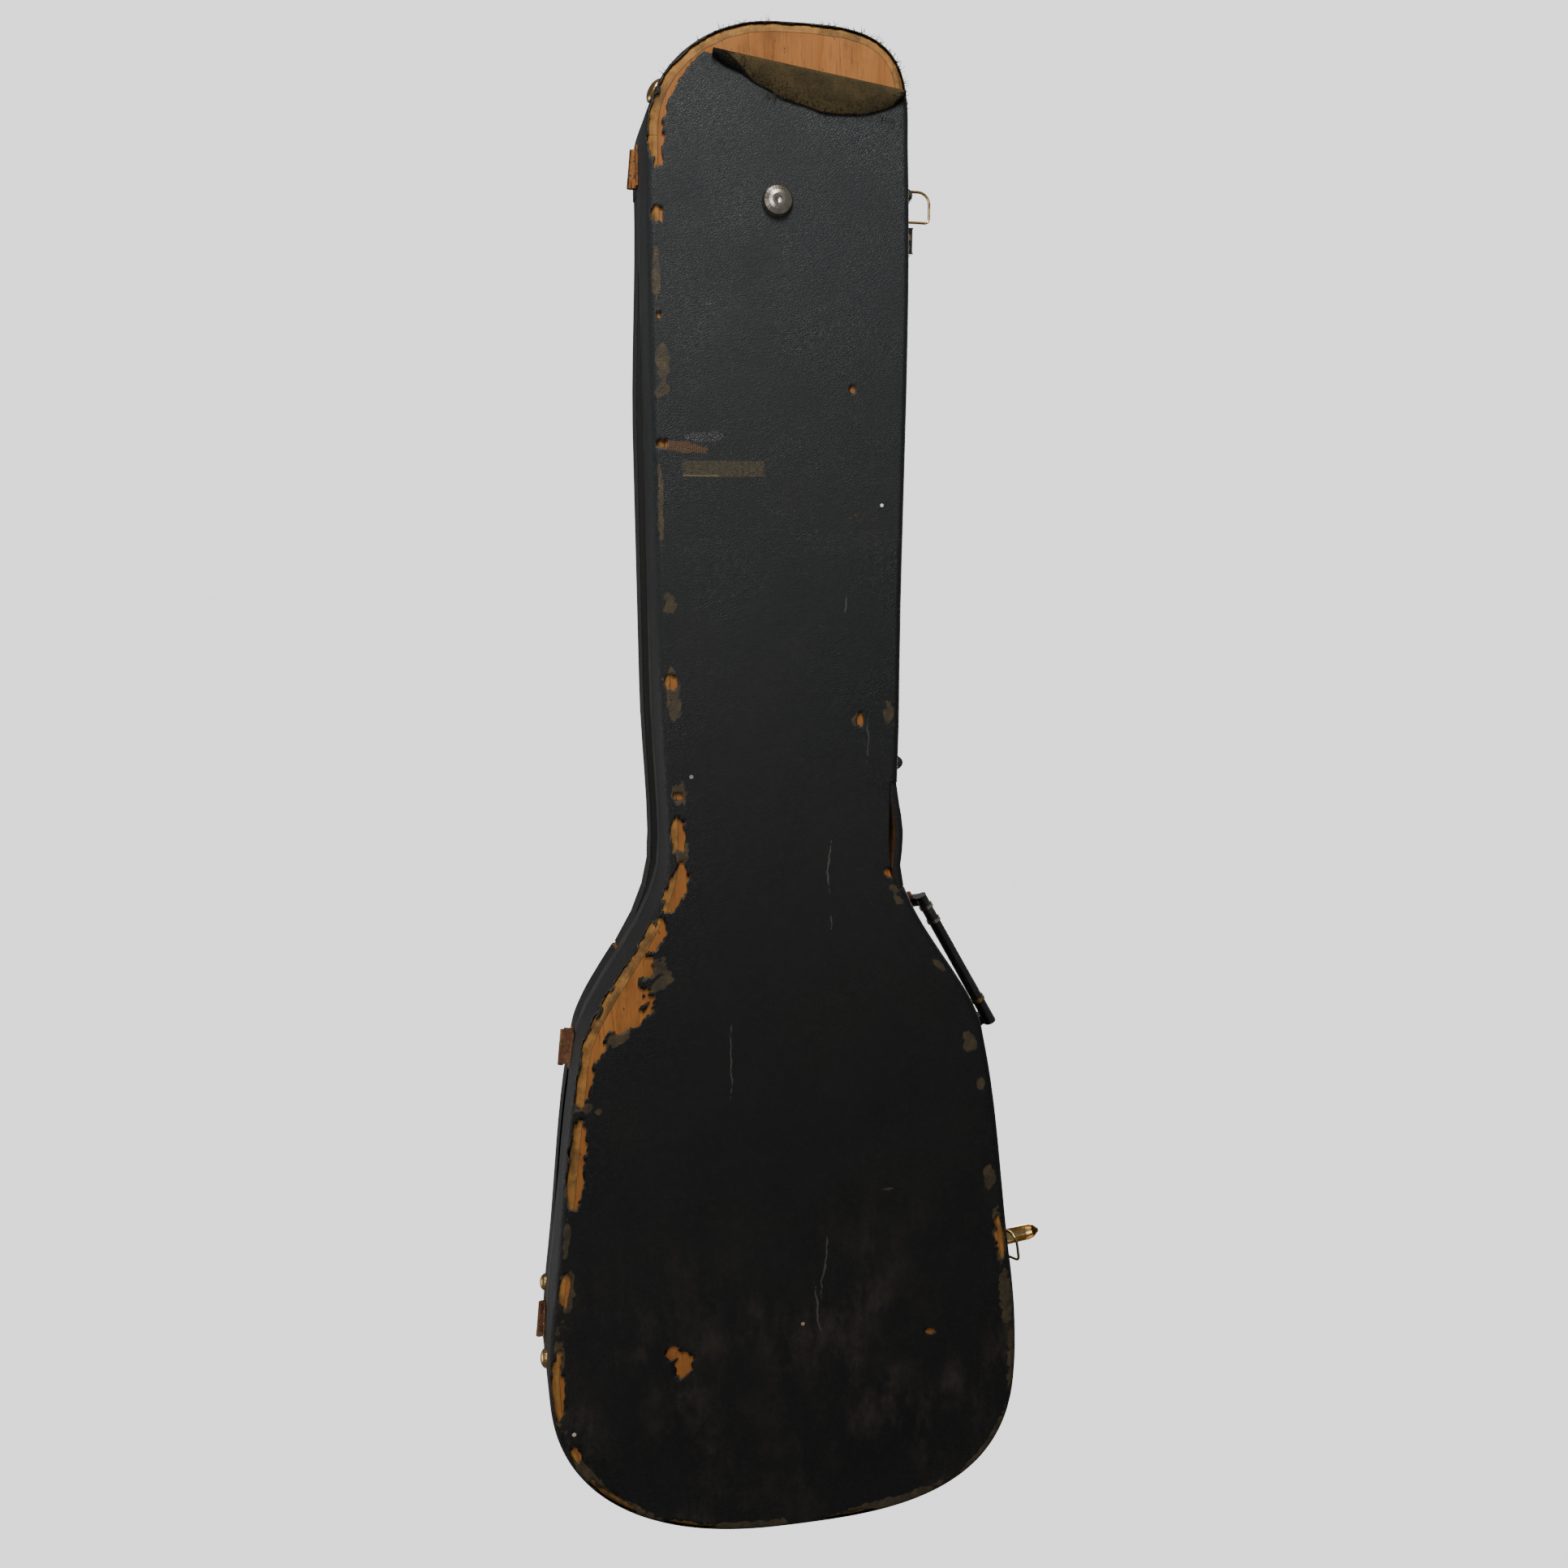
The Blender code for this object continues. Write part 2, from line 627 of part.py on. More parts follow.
def lever_shell(name):
    """A domed metal tongue, hollow behind, from its barrel down to a round tip."""
    across, along = 8, 8
    root = 0.0015
    rows = []
    for metal in (0.0, LEVER_METAL):
        for i in range(along + 1):
            share = i / along
            closing = math.sqrt(max(0.0, 1 - smooth(0.70, 1.02, share) ** 2))
            half = (LEVER_HALF - 0.0010 * share) * closing - metal
            rise = (0.45 + 0.55 * smooth(0.0, 0.7, share)) * LEVER_RISE * closing - metal
            z = -root - (LEVER_LENGTH - root - (metal if i == along else 0)) * share
            for j in range(across + 1):
                angle = math.radians(-90 + 180 * j / across)
                rows.append((half * math.sin(angle), 0.0020 - rise * math.cos(angle), z))
    width = across + 1
    sheet = width * (along + 1)
    faces = []
    for i in range(along):
        for j in range(across):
            here = i * width + j
            faces.append((here, here + 1, here + 1 + width, here + width))
            faces.append(tuple(sheet + n for n in (here, here + 1, here + 1 + width, here + width)))
    edge = list(range(width)) + [i * width + across for i in range(1, along + 1)]
    edge += [along * width + j for j in range(across - 1, -1, -1)]
    edge += [i * width for i in range(along - 1, 0, -1)]
    for here, there in zip(edge, edge[1:] + edge[:1]):
        faces.append((here, there, sheet + there, sheet + here))
    return mesh_object(name, rows, faces, BRASS)


def latch_plate(name, pivot):
    """The riveted base plate with its two ears and the pin that the lever turns on."""
    back = -BAND_PROUD - GAP
    half = 0.0110
    plate = block(f"{name}_plate", (-half, back - 0.0012, -0.022), (half, back, 0.0090), NICKEL)
    pieces = []
    for i, x in enumerate((-0.0100, 0.0086)):
        ear = [(back - 0.0004, -0.0032), (back - 0.0004, 0.0032)]
        ear += ellipse(0.0030, 0.0030, 10, (-LATCH_PIVOT_OUT, 0.0))[3:7]
        pieces.append(extruded(f"{name}_ear_{i}", ear, x, x + 0.0014, NICKEL))
    pin = rod(f"{name}_pin", 0.0011, -0.0100, 0.0100, NICKEL, 12, (-LATCH_PIVOT_OUT, 0.0))
    combined(hang(plate, pivot), pieces + [pin])


def lever(name, pivot, opened):
    tongue = lever_shell(f"{name}_lever")
    barrel = rod(f"{name}_barrel", 0.0026, -0.0082, 0.0082, BRASS)
    combined(tongue, [barrel])
    combined(tongue, [rod(f"{name}_lever_bore", 0.0014, -0.012, 0.012, BRASS, 12)], "DIFFERENCE")
    hang(tongue, pivot, (0, -LATCH_PIVOT_OUT, 0), (-math.radians(opened), 0, 0))


def arc(centre, radius, start, end, count):
    """Points (x, z) on a circle from one angle to another, in degrees."""
    turns = [math.radians(start + (end - start) * i / count) for i in range(count + 1)]
    return [(centre[0] + radius * math.cos(a), centre[1] + radius * math.sin(a)) for a in turns]


def bail(name, pivot, angle):
    """A bent wire: two legs whose ends turn in to the plate's ears, and a crossbar."""
    half, length = BAIL_HALF, BAIL_LENGTH
    wide, tight, root = 0.010, 0.0035, 0.0015
    ends = 0.0100 + GAP
    route = [(ends, 0.0)] + arc((half - root, -root), root, 90, 0, 2)
    route += arc((half - tight, tight - length), tight, 0, -90, 3)
    route += arc((wide - half, wide - length), wide, -90, -180, 5)
    route += arc((root - half, -root), root, 180, 90, 2) + [(-ends, 0.0)]
    curve = bpy.data.curves.new(f"{name}_bail", "CURVE")
    curve.dimensions = "3D"
    curve.bevel_depth = BAIL_WIRE
    curve.bevel_resolution = 2
    curve.use_fill_caps = True
    line = curve.splines.new("POLY")
    line.points.add(len(route) - 1)
    for point, (x, z) in zip(line.points, route):
        point.co = (x, 0.0, z, 1.0)
    wire = add_curve(curve)
    hang(wire, pivot, (0, -LATCH_PIVOT_OUT, 0), (-math.radians(angle), 0, 0))


def add_curve(curve):
    material = bpy.data.materials.new(curve.name)
    material.use_nodes = True
    shader = material.node_tree.nodes["Principled BSDF"]
    shader.inputs["Base Color"].default_value = (*BRASS["colour"], 1.0)
    shader.inputs["Roughness"].default_value = BRASS["roughness"]
    shader.inputs["Metallic"].default_value = BRASS["metallic"]
    curve.materials.append(material)
    obj = bpy.data.objects.new(curve.name, curve)
    bpy.context.scene.collection.objects.link(obj)
    return obj


def keeper(name):
    """The catch on the lid, with an upturned lip that the bail's crossbar hooks over."""
    back, thick = -GAP, 0.0012
    low, lip, high = 0.0135, 0.0270, 0.0320
    front = -0.0075
    shape = [(back, low), (back, high + 0.003), (back - thick, high + 0.003), (back - thick, lip)]
    shape += [(front + thick, lip), (front + thick, high), (front, high), (front, lip - thick)]
    shape += [(back - thick, lip - thick), (back - thick, low)]
    return extruded(f"{name}_keeper", shape, -0.0085, 0.0085, NICKEL)


def latches(lid_pivot):
    keepers = []
    for place, (v, opened, angle) in LATCHES.items():
        name = f"latch_{place}"
        pivot = empty(f"{name}_place", wall_frame(v, LATCH_SIDE, LATCH_PIVOT_Z))
        latch_plate(name, pivot)
        lever(name, pivot, opened)
        bail(name, pivot, angle)
        keepers.append(moved(keeper(name), pivot.matrix_basis))
    keep_on(lid_pivot, keepers)


def side_bracket():
    """A small channel beside the head latch: a back plate, two end flanges and a black core."""
    back, out = -GAP, -0.0112
    half, high, metal = 0.0105, 0.010, 0.0012
    channel = block("side_bracket", (-half, back - metal, -high), (half, back, high), BRASS)
    flanges = [
        block(f"flange_{i}", (x, out, -high), (x + metal, back, high), BRASS)
        for i, x in enumerate((-half, half - metal))
    ]
    core = block("bracket_core", (-half, out + 0.0006, -high), (half, back, high - 0.002), BRASS)
    combined(channel, flanges + [core])
    moved(channel, wall_frame(BRACKET_V, LATCH_SIDE, BRACKET_Z))


# ---------------------------------------------------------------- the handle


def handle_axis():
    """The frame of the line that the handle turns on, with x along it."""
    first, second = (Vector(end) for end in HANDLE_LINE)
    middle, along = (first + second) / 2, second - first
    turn = Matrix.Rotation(math.atan2(along.y, along.x), 4, "Z")
    grip = Matrix.Translation(case_point(middle.x, middle.y, HANDLE_PIVOT_Z)) @ turn
    return grip @ Matrix.Translation((0, HANDLE_PIVOT_IN, 0))


def handle_bracket(name, sign, axis):
    """A plate on the wall with an ear, and a pin that points in to the handle's end."""
    low, high = sorted((sign * (HANDLE_HALF + GAP), sign * (HANDLE_HALF + 0.0035)))
    middle = axis @ Vector(((low + high) / 2, 0, 0))
    v = middle.x + LENGTH / 2 + 0.004
    on_wall = wall_frame(v, LATCH_SIDE, HANDLE_PIVOT_Z)
    back = -BAND_PROUD - GAP
    plate = block(name, (-0.011, back - 0.0015, -0.0095), (0.011, back + BITE, 0.0085), RUSTY)
    to_axis = on_wall.inverted() @ axis
    shape = [(0.030, -0.0060), (0.030, 0.0060)] + ellipse(0.0045, 0.0045, 12)[3:9]
    ear = moved(extruded(f"{name}_ear", shape, low, high, RUSTY), to_axis)
    low, high = sorted((sign * (HANDLE_HALF - 0.007), sign * (HANDLE_HALF + 0.001)))
    pin = moved(rod(f"{name}_pin", 0.0016, low, high, RUSTY, 12), to_axis)
    combined(plate, [ear, pin])
    behind = block(f"{name}_behind", (-0.06, back, -0.02), (0.06, 0.06, 0.02), RUSTY)
    combined(plate, [behind], "DIFFERENCE")
    moved(plate, on_wall)


def sleeve(name, half_y, half_z, metal, start, end, look, centre):
    outer = extruded(name, ellipse(half_y + metal, half_z + metal, 20, centre), start, end, look)
    bore = ellipse(half_y, half_z, 20, centre)
    return combined(
        outer, [extruded(f"{name}_bore", bore, start - 0.001, end + 0.001, look)], "DIFFERENCE"
    )


def handle_cap(name, sign, centre):
    """A moulded end: it carries on the grip's line, and a cheek runs back to the pivot."""
    near, far = GRIP_HALF + GAP, HANDLE_HALF
    start, end = sorted((sign * near, sign * far))
    cap = extruded(name, ellipse(GRIP_THICK, GRIP_WIDE, 20, centre), start, end, GRIP)
    cheek_start, cheek_end = sorted((sign * (far - 0.008), sign * far))
    away = Vector(centre).normalized()
    beside = Vector((-away.y, away.x)) * 0.0042
    tip = Vector(centre)
    corners = [beside, -beside, tip - beside, tip + beside]
    cheek = extruded(f"{name}_cheek", [tuple(c) for c in corners], cheek_start, cheek_end, GRIP)
    eye = rod(f"{name}_eye", 0.0045, cheek_start, cheek_end, GRIP)
    combined(cap, [cheek, eye])
    bore = rod(f"{name}_bore", 0.0016 + GAP, cheek_start - 0.001, cheek_end + 0.001, GRIP, 12)
    return combined(cap, [bore], "DIFFERENCE")


def handle():
    axis = handle_axis()
    pivot = empty("handle_axis", axis)
    centre = (-HANDLE_PIVOT_IN, -HANDLE_DROP)
    shape = ellipse(GRIP_THICK, GRIP_WIDE, 20, centre)
    pieces = [extruded("handle_grip", shape, -GRIP_HALF, GRIP_HALF, GRIP)]
    pieces.append(handle_cap("handle_cap_head", -1, centre))
    pieces.append(handle_cap("handle_cap_bout", 1, centre))
    rings = {
        "handle_ring_head_outer": (-0.0570, -0.0540, NICKEL),
        "handle_ring_head_inner": (-0.0430, -0.0400, NICKEL),
        "handle_ring_bout": (0.0400, 0.0435, BRASS),
    }
    for name, (start, end, look) in rings.items():
        inner_y, inner_z = GRIP_THICK + GAP, GRIP_WIDE + GAP
        pieces.append(sleeve(name, inner_y, inner_z, 0.0008, start, end, look, centre))
    for piece in pieces:
        hang(piece, pivot)
    handle_bracket("handle_bracket_head", -1, axis)
    handle_bracket("handle_bracket_bout", 1, axis)


# ---------------------------------------------------------------- the whole case


def build():
    clear_scene()
    base_shell()
    linings()
    neck_block()
    compartment()
    pads()
    foot()
    stud("stud_head", 0.047, 0.046, 0.0104, 0.0065)
    stud("stud_bout", 1.092, 0.046, 0.0086, 0.0060)
    lid_stud = stud("stud_lid", 1.048, 0.1005, 0.0074, 0.0055)
    line = Matrix.Rotation(math.atan(HINGE_LINE_SLOPE), 4, "Z")
    lid_pivot = empty(
        "lid_axis",
        Matrix.Translation(case_point(LENGTH / 2, hinge_line_half(LENGTH / 2), SEAM_Z)) @ line,
    )
    lid_pieces = lid_shell() + [lid_stud]
    for name, v in HINGES.items():
        lid_pieces.append(hinge(name, v))
    keep_on(lid_pivot, lid_pieces)
    latches(lid_pivot)
    side_bracket()
    handle()
    bpy.context.view_layer.update()


build()
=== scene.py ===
"""The looks of a worn form-fit bass guitar case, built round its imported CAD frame.

The case lies on its base: +X runs to the lower bout, +Y to the hinges and +Z up through the lid.
The camera looks up at the base, which is the side with the torn vinyl.
"""

import json
import math
import random

import bmesh
import bpy
import numpy as np
from mathutils import Matrix, Vector, noise
from mathutils.bvhtree import BVHTree


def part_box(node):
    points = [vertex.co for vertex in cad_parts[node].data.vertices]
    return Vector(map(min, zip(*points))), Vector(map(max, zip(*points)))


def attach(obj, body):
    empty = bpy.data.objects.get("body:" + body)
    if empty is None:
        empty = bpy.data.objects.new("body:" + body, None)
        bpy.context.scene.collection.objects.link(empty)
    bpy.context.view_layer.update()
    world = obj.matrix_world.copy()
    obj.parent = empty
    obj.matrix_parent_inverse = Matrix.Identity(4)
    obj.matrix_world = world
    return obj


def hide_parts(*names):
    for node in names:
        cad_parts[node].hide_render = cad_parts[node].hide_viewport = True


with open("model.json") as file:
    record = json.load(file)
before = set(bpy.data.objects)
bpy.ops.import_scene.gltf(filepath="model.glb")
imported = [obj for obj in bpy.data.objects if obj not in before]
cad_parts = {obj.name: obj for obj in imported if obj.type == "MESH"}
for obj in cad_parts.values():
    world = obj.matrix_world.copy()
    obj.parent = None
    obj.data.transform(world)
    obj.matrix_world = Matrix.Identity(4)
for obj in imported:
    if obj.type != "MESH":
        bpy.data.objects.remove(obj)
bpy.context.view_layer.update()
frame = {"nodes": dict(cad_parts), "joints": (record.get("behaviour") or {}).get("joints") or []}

nodes = frame["nodes"]
joints = {joint["name"]: joint for joint in frame["joints"]}
random.seed(7)

HINGE_SIDE, LATCH_SIDE = 1, -1
SKIN = 0.0007  # the vinyl's thickness
EDGE = 0.0045  # how far in from the side its bend on to the face reaches
ROW_COUNT = 560
ON_MIDLINE = 0.0006  # a row's end as near the midline as this is at the tip of the case


# ---------------------------------------------------------------- the case's outline


def hermite_loop(points, samples=10):
    """A closed smooth curve through the points."""
    after = np.roll(points, -1, axis=0)
    span = np.linalg.norm(after - points, axis=1)[:, None]
    back = np.roll(span, 1, axis=0)
    slope = (after - points) / span
    tangent = (np.roll(slope, 1, axis=0) * span + slope * back) / (span + back)
    t = np.linspace(0, 1, samples, endpoint=False)[None, :, None]
    start, end = points[:, None], after[:, None]
    leave, arrive = (tangent * span)[:, None], (np.roll(tangent, -1, axis=0) * span)[:, None]
    curve = (2 * t**3 - 3 * t**2 + 1) * start + (t**3 - 2 * t**2 + t) * leave
    curve += (3 * t**2 - 2 * t**3) * end + (t**3 - t**2) * arrive
    return curve.reshape(-1, 2)


def read_rows(count):
    """Rows across the case at matching places on its two sides: each side's points and normals."""
    panel = nodes["base_panel"].data.vertices
    low = min(v.co.z for v in panel)
    ring = sorted({(round(v.co.x, 5), round(v.co.y, 5)) for v in panel if v.co.z < low + 1e-4})
    midline = ring[0][1]
    hinge = [p for p in ring if p[1] >= midline]
    latch = [p for p in ring[1:-1] if p[1] < midline]
    loop = np.array(hinge + latch[::-1])
    ahead, behind = np.roll(loop, -1, axis=0) - loop, loop - np.roll(loop, 1, axis=0)
    along = ahead / np.linalg.norm(ahead, axis=1)[:, None]
    along_before = behind / np.linalg.norm(behind, axis=1)[:, None]
    normal = np.stack([-(along + along_before)[:, 1], (along + along_before)[:, 0]], axis=1)
    normal /= np.linalg.norm(normal, axis=1)[:, None]
    square = np.stack([-along[:, 1], along[:, 0]], axis=1)
    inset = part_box("base_panel")[0].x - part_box("base_covering")[0].x
    outer = loop + inset * normal / (normal * square).sum(axis=1)[:, None]
    dense = hermite_loop(outer)
    at_tail = dense[:, 0] > dense[:, 0].max() - 0.01
    tail = np.where(at_tail, np.abs(dense[:, 1] - midline), 1.0).argmin()
    halves = {HINGE_SIDE: dense[: tail + 1], LATCH_SIDE: np.vstack([dense[tail:], dense[:1]])[::-1]}
    xs = np.unique(np.round(np.concatenate([half[:, 0] for half in halves.values()]), 6))
    ys = {}
    for side, half in halves.items():
        off = np.maximum(side * (half[:, 1] - midline), 0)
        ys[side] = midline + side * np.interp(xs, np.maximum.accumulate(half[:, 0]), off)
    steps = [np.hypot(np.diff(xs), np.diff(y)) for y in ys.values()]
    run = np.concatenate([[0], np.cumsum(np.maximum(*steps))])
    at = np.linspace(0, run[-1], count)
    rows = {}
    for side, y in ys.items():
        points = np.stack([np.interp(at, run, xs), np.interp(at, run, y)], axis=1)
        t = np.gradient(points, axis=0)
        t /= np.linalg.norm(t, axis=1)[:, None]
        normals = side * np.stack([-t[:, 1], t[:, 0]], axis=1)
        tips = np.abs(points[:, 1] - midline) < ON_MIDLINE
        tips[[0, -1]] = True
        normals[tips] = np.stack([np.sign(points[tips, 0]), np.zeros(tips.sum())], axis=1)
        points[tips, 1] = midline
        points[0, 0] = points[1, 0]
        rows[side] = (points, normals)
    return midline, rows


MIDLINE, ROWS = read_rows(ROW_COUNT)
HEAD_X, TAIL_X = ROWS[HINGE_SIDE][0][0, 0], ROWS[HINGE_SIDE][0][-1, 0]
# The stretch of the midline that the rows run in to.
SPINE = (HEAD_X + 0.10, TAIL_X - 0.20)


def side_at(x, side, out=0.0):
    """The point of one side at x, moved outwards, and the outward normal there."""
    points, normals = ROWS[side]
    i = int(np.searchsorted(points[:, 0], x))
    i = min(max(i, 1), len(points) - 2)
    share = (x - points[i - 1, 0]) / max(points[i, 0] - points[i - 1, 0], 1e-9)
    share = min(max(share, 0.0), 1.0)
    place = points[i - 1] + (points[i] - points[i - 1]) * share
    return place + normals[i] * out, normals[i]


def wall_frame(x, side, z):
    """A frame on the case's outer face: x towards the tail, z up, y to the hinge side."""
    place, normal = side_at(x, side)
    tangent = Vector((normal[1], -normal[0])) * side
    turn = Matrix.Rotation(math.atan2(tangent.y, tangent.x), 4, "Z")
    return Matrix.Translation((place[0], place[1], z)) @ turn


def placed(name, data):
    """A new object in the scene."""
    obj = bpy.data.objects.new(name, data)
    bpy.context.scene.collection.objects.link(obj)
    return obj


# ---------------------------------------------------------------- shader building


class Nodes:
    """Builds a material's nodes: each call adds a node and returns its first output."""

    def __init__(self, name):
        self.material = bpy.data.materials.new(name)
        self.material.use_nodes = True
        self.tree = self.material.node_tree
        self.shader = self.tree.nodes["Principled BSDF"]
        self.place = self.add("ShaderNodeTexCoord").node.outputs["Object"]

    def add(self, kind, inputs=None, **settings):
        node = self.tree.nodes.new(kind)
        for key, value in settings.items():
            setattr(node, key, value)
        for key, value in (inputs or {}).items():
            self.put(node.inputs[key], value)
        return node.outputs[0]

    def put(self, socket, value):
        if isinstance(value, bpy.types.NodeSocket):
            self.tree.links.new(value, socket)
        else:
            socket.default_value = value

    def math(self, operation, *values):
        return self.add("ShaderNodeMath", dict(enumerate(values)), operation=operation)

    def noise(self, scale, detail=4.0, roughness=0.55, stretch=None):
        place = self.place
        if stretch:
            place = self.add("ShaderNodeMapping", {"Vector": place, "Scale": stretch})
        inputs = {"Vector": place, "Scale": scale, "Detail": detail, "Roughness": roughness}
        return self.add("ShaderNodeTexNoise", inputs)

    def axes(self, vector):
        """The outputs X, Y and Z of a vector."""
        return self.add("ShaderNodeSeparateXYZ", {0: vector}).node.outputs

    def ramp(self, value, low, high, start=0.0, end=1.0):
        """value from low..high to start..end, held at both ends."""
        inputs = {0: value, 1: low, 2: high, 3: start, 4: end}
        return self.add("ShaderNodeMapRange", inputs)

    def mix(self, factor, first, second):
        node = self.tree.nodes.new("ShaderNodeMix")
        node.data_type = "RGBA"
        self.put(node.inputs[0], factor)
        for socket, value in ((node.inputs[6], first), (node.inputs[7], second)):
            if not isinstance(value, bpy.types.NodeSocket):
                value = (*value, 1.0)
            self.put(socket, value)
        return node.outputs[2]

    def bump(self, height, distance, strength=1.0, under=None):
        inputs = {"Height": height, "Distance": distance, "Strength": strength}
        if under:
            inputs["Normal"] = under
        return self.add("ShaderNodeBump", inputs)

    def finish(self, **inputs):
        names = {"colour": "Base Color", "rough": "Roughness", "metal": "Metallic"}
        names |= {"normal": "Normal", "specular": "Specular IOR Level", "coat": "Coat Weight"}
        names |= {"coat_rough": "Coat Roughness", "sheen": "Sheen Weight"}
        names |= {"sheen_rough": "Sheen Roughness"}
        for key, value in inputs.items():
            if key == "colour" and not isinstance(value, bpy.types.NodeSocket):
                value = (*value, 1.0)
            self.put(self.shader.inputs[names[key]], value)
        return self.material


def spot(n, centre, size, angle=0.0, ragged=0.5, grain=120.0, wander=None):
    """A ragged elliptical mark on the base, 1 inside and 0 outside."""
    place = wander or n.place
    flat = n.add("ShaderNodeVectorMath", {0: place, 1: (*centre, 0.0)}, operation="SUBTRACT")
    scale = (1 / size[0], 1 / size[1], 0.0)
    turned = n.add("ShaderNodeVectorRotate", {"Vector": flat, "Angle": -math.radians(angle)})
    scaled = n.add("ShaderNodeVectorMath", {0: turned, 1: scale}, operation="MULTIPLY")
    length = n.add("ShaderNodeVectorMath", {0: scaled}, operation="LENGTH").node
    rough = n.math("MULTIPLY", n.math("SUBTRACT", n.noise(grain, 3.0), 0.5), ragged * 3)
    return n.ramp(n.math("ADD", length.outputs["Value"], rough), 1.05, 0.90)


def strip(n, centre, size):
    """A straight-edged rectangular mark on the base, 1 inside and 0 outside."""
    flat = n.add("ShaderNodeVectorMath", {0: n.place, 1: (*centre, 0.0)}, operation="SUBTRACT")
    scaled = n.add(
        "ShaderNodeVectorMath", {0: flat, 1: (1 / size[0], 1 / size[1], 0.0)}, operation="MULTIPLY"
    )
    axes = n.axes(scaled)
    x, y = n.math("ABSOLUTE", axes["X"]), n.math("ABSOLUTE", axes["Y"])
    rough = n.math("MULTIPLY", n.math("SUBTRACT", n.noise(140.0, 3.0), 0.5), 0.25)
    return n.ramp(n.math("ADD", n.math("MAXIMUM", x, y), rough), 1.02, 0.94)


def below(n, z):
    """1 for what lies below this height, such as the base's face, and 0 above it."""
    return n.ramp(n.axes(n.place)["Z"], z + 0.0005, z - 0.0005)


# ---------------------------------------------------------------- materials

DUST = (0.052, 0.040, 0.028)
OLIVE = (0.050, 0.040, 0.017)
WORN = (0.060, 0.042, 0.020)
FACE_TOP = 0.0095
RIM_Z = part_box("lid_covering")[0].z


def leather_grain(n):
    """Small pebbles about a millimetre across, with shallow creases."""
    warp = n.add(
        "ShaderNodeVectorMath",
        {0: n.noise(160.0, 2.0), 1: (0.0016, 0.0016, 0.0016)},
        operation="MULTIPLY",
    )
    place = n.add("ShaderNodeVectorMath", {0: n.place, 1: warp}, operation="ADD")
    cells = {"Vector": place, "Scale": 620.0}
    pebbles = n.add("ShaderNodeTexVoronoi", cells, feature="DISTANCE_TO_EDGE")
    return n.math("MULTIPLY", n.ramp(pebbles, 0.0, 0.22), n.noise(300.0, 3.0))


def vinyl(name, marked=False):
    n = Nodes(name)
    axes = n.axes(n.place)
    grain = leather_grain(n)
    # Painted light: a lit bluish sheen painted at the head end, falling off to near black towards the
    # tail.
    painted_sheen_blue, black = (0.0105, 0.0122, 0.0135), (0.0022, 0.0023, 0.0023)
    painted_light_falloff = n.ramp(axes["X"], HEAD_X + 0.10, TAIL_X - 0.45)
    colour = n.mix(painted_light_falloff, painted_sheen_blue, black)
    dusty = n.ramp(n.noise(9.0, 8.0, 0.68), 0.46, 0.72, 0.0, 0.16)
    tail_scuff = n.ramp(axes["X"], 0.30, 0.48)
    rubbed = n.ramp(n.noise(38.0, 8.0, 0.75, stretch=(0.5, 1.0, 1.0)), 0.46, 0.70)
    clouds = n.ramp(n.noise(8.0, 4.0), 0.40, 0.62)
    scuff = n.math("MULTIPLY", n.math("MULTIPLY", rubbed, tail_scuff), clouds)
    colour = n.mix(n.math("MULTIPLY", dusty, n.ramp(grain, 0.2, 0.6)), colour, DUST)
    colour = n.mix(n.math("MULTIPLY", scuff, 0.70), colour, DUST)
    flecks = n.ramp(n.noise(700.0, 2.0, 0.8), 0.70, 0.76)
    flecks = n.math("MULTIPLY", flecks, n.math("MULTIPLY", tail_scuff, clouds))
    colour = n.mix(n.math("MULTIPLY", flecks, 0.5), colour, (0.12, 0.10, 0.08))
    rough = n.ramp(n.noise(14.0, 5.0), 0.3, 0.7, 0.42, 0.62)
    if marked:
        colour = marks(n, colour)
    normal = n.bump(grain, 0.0006, 0.55)
    normal = n.bump(n.noise(22.0, 3.0), 0.0010, 0.35, normal)
    return n.finish(colour=colour, rough=rough, normal=normal, specular=0.30)


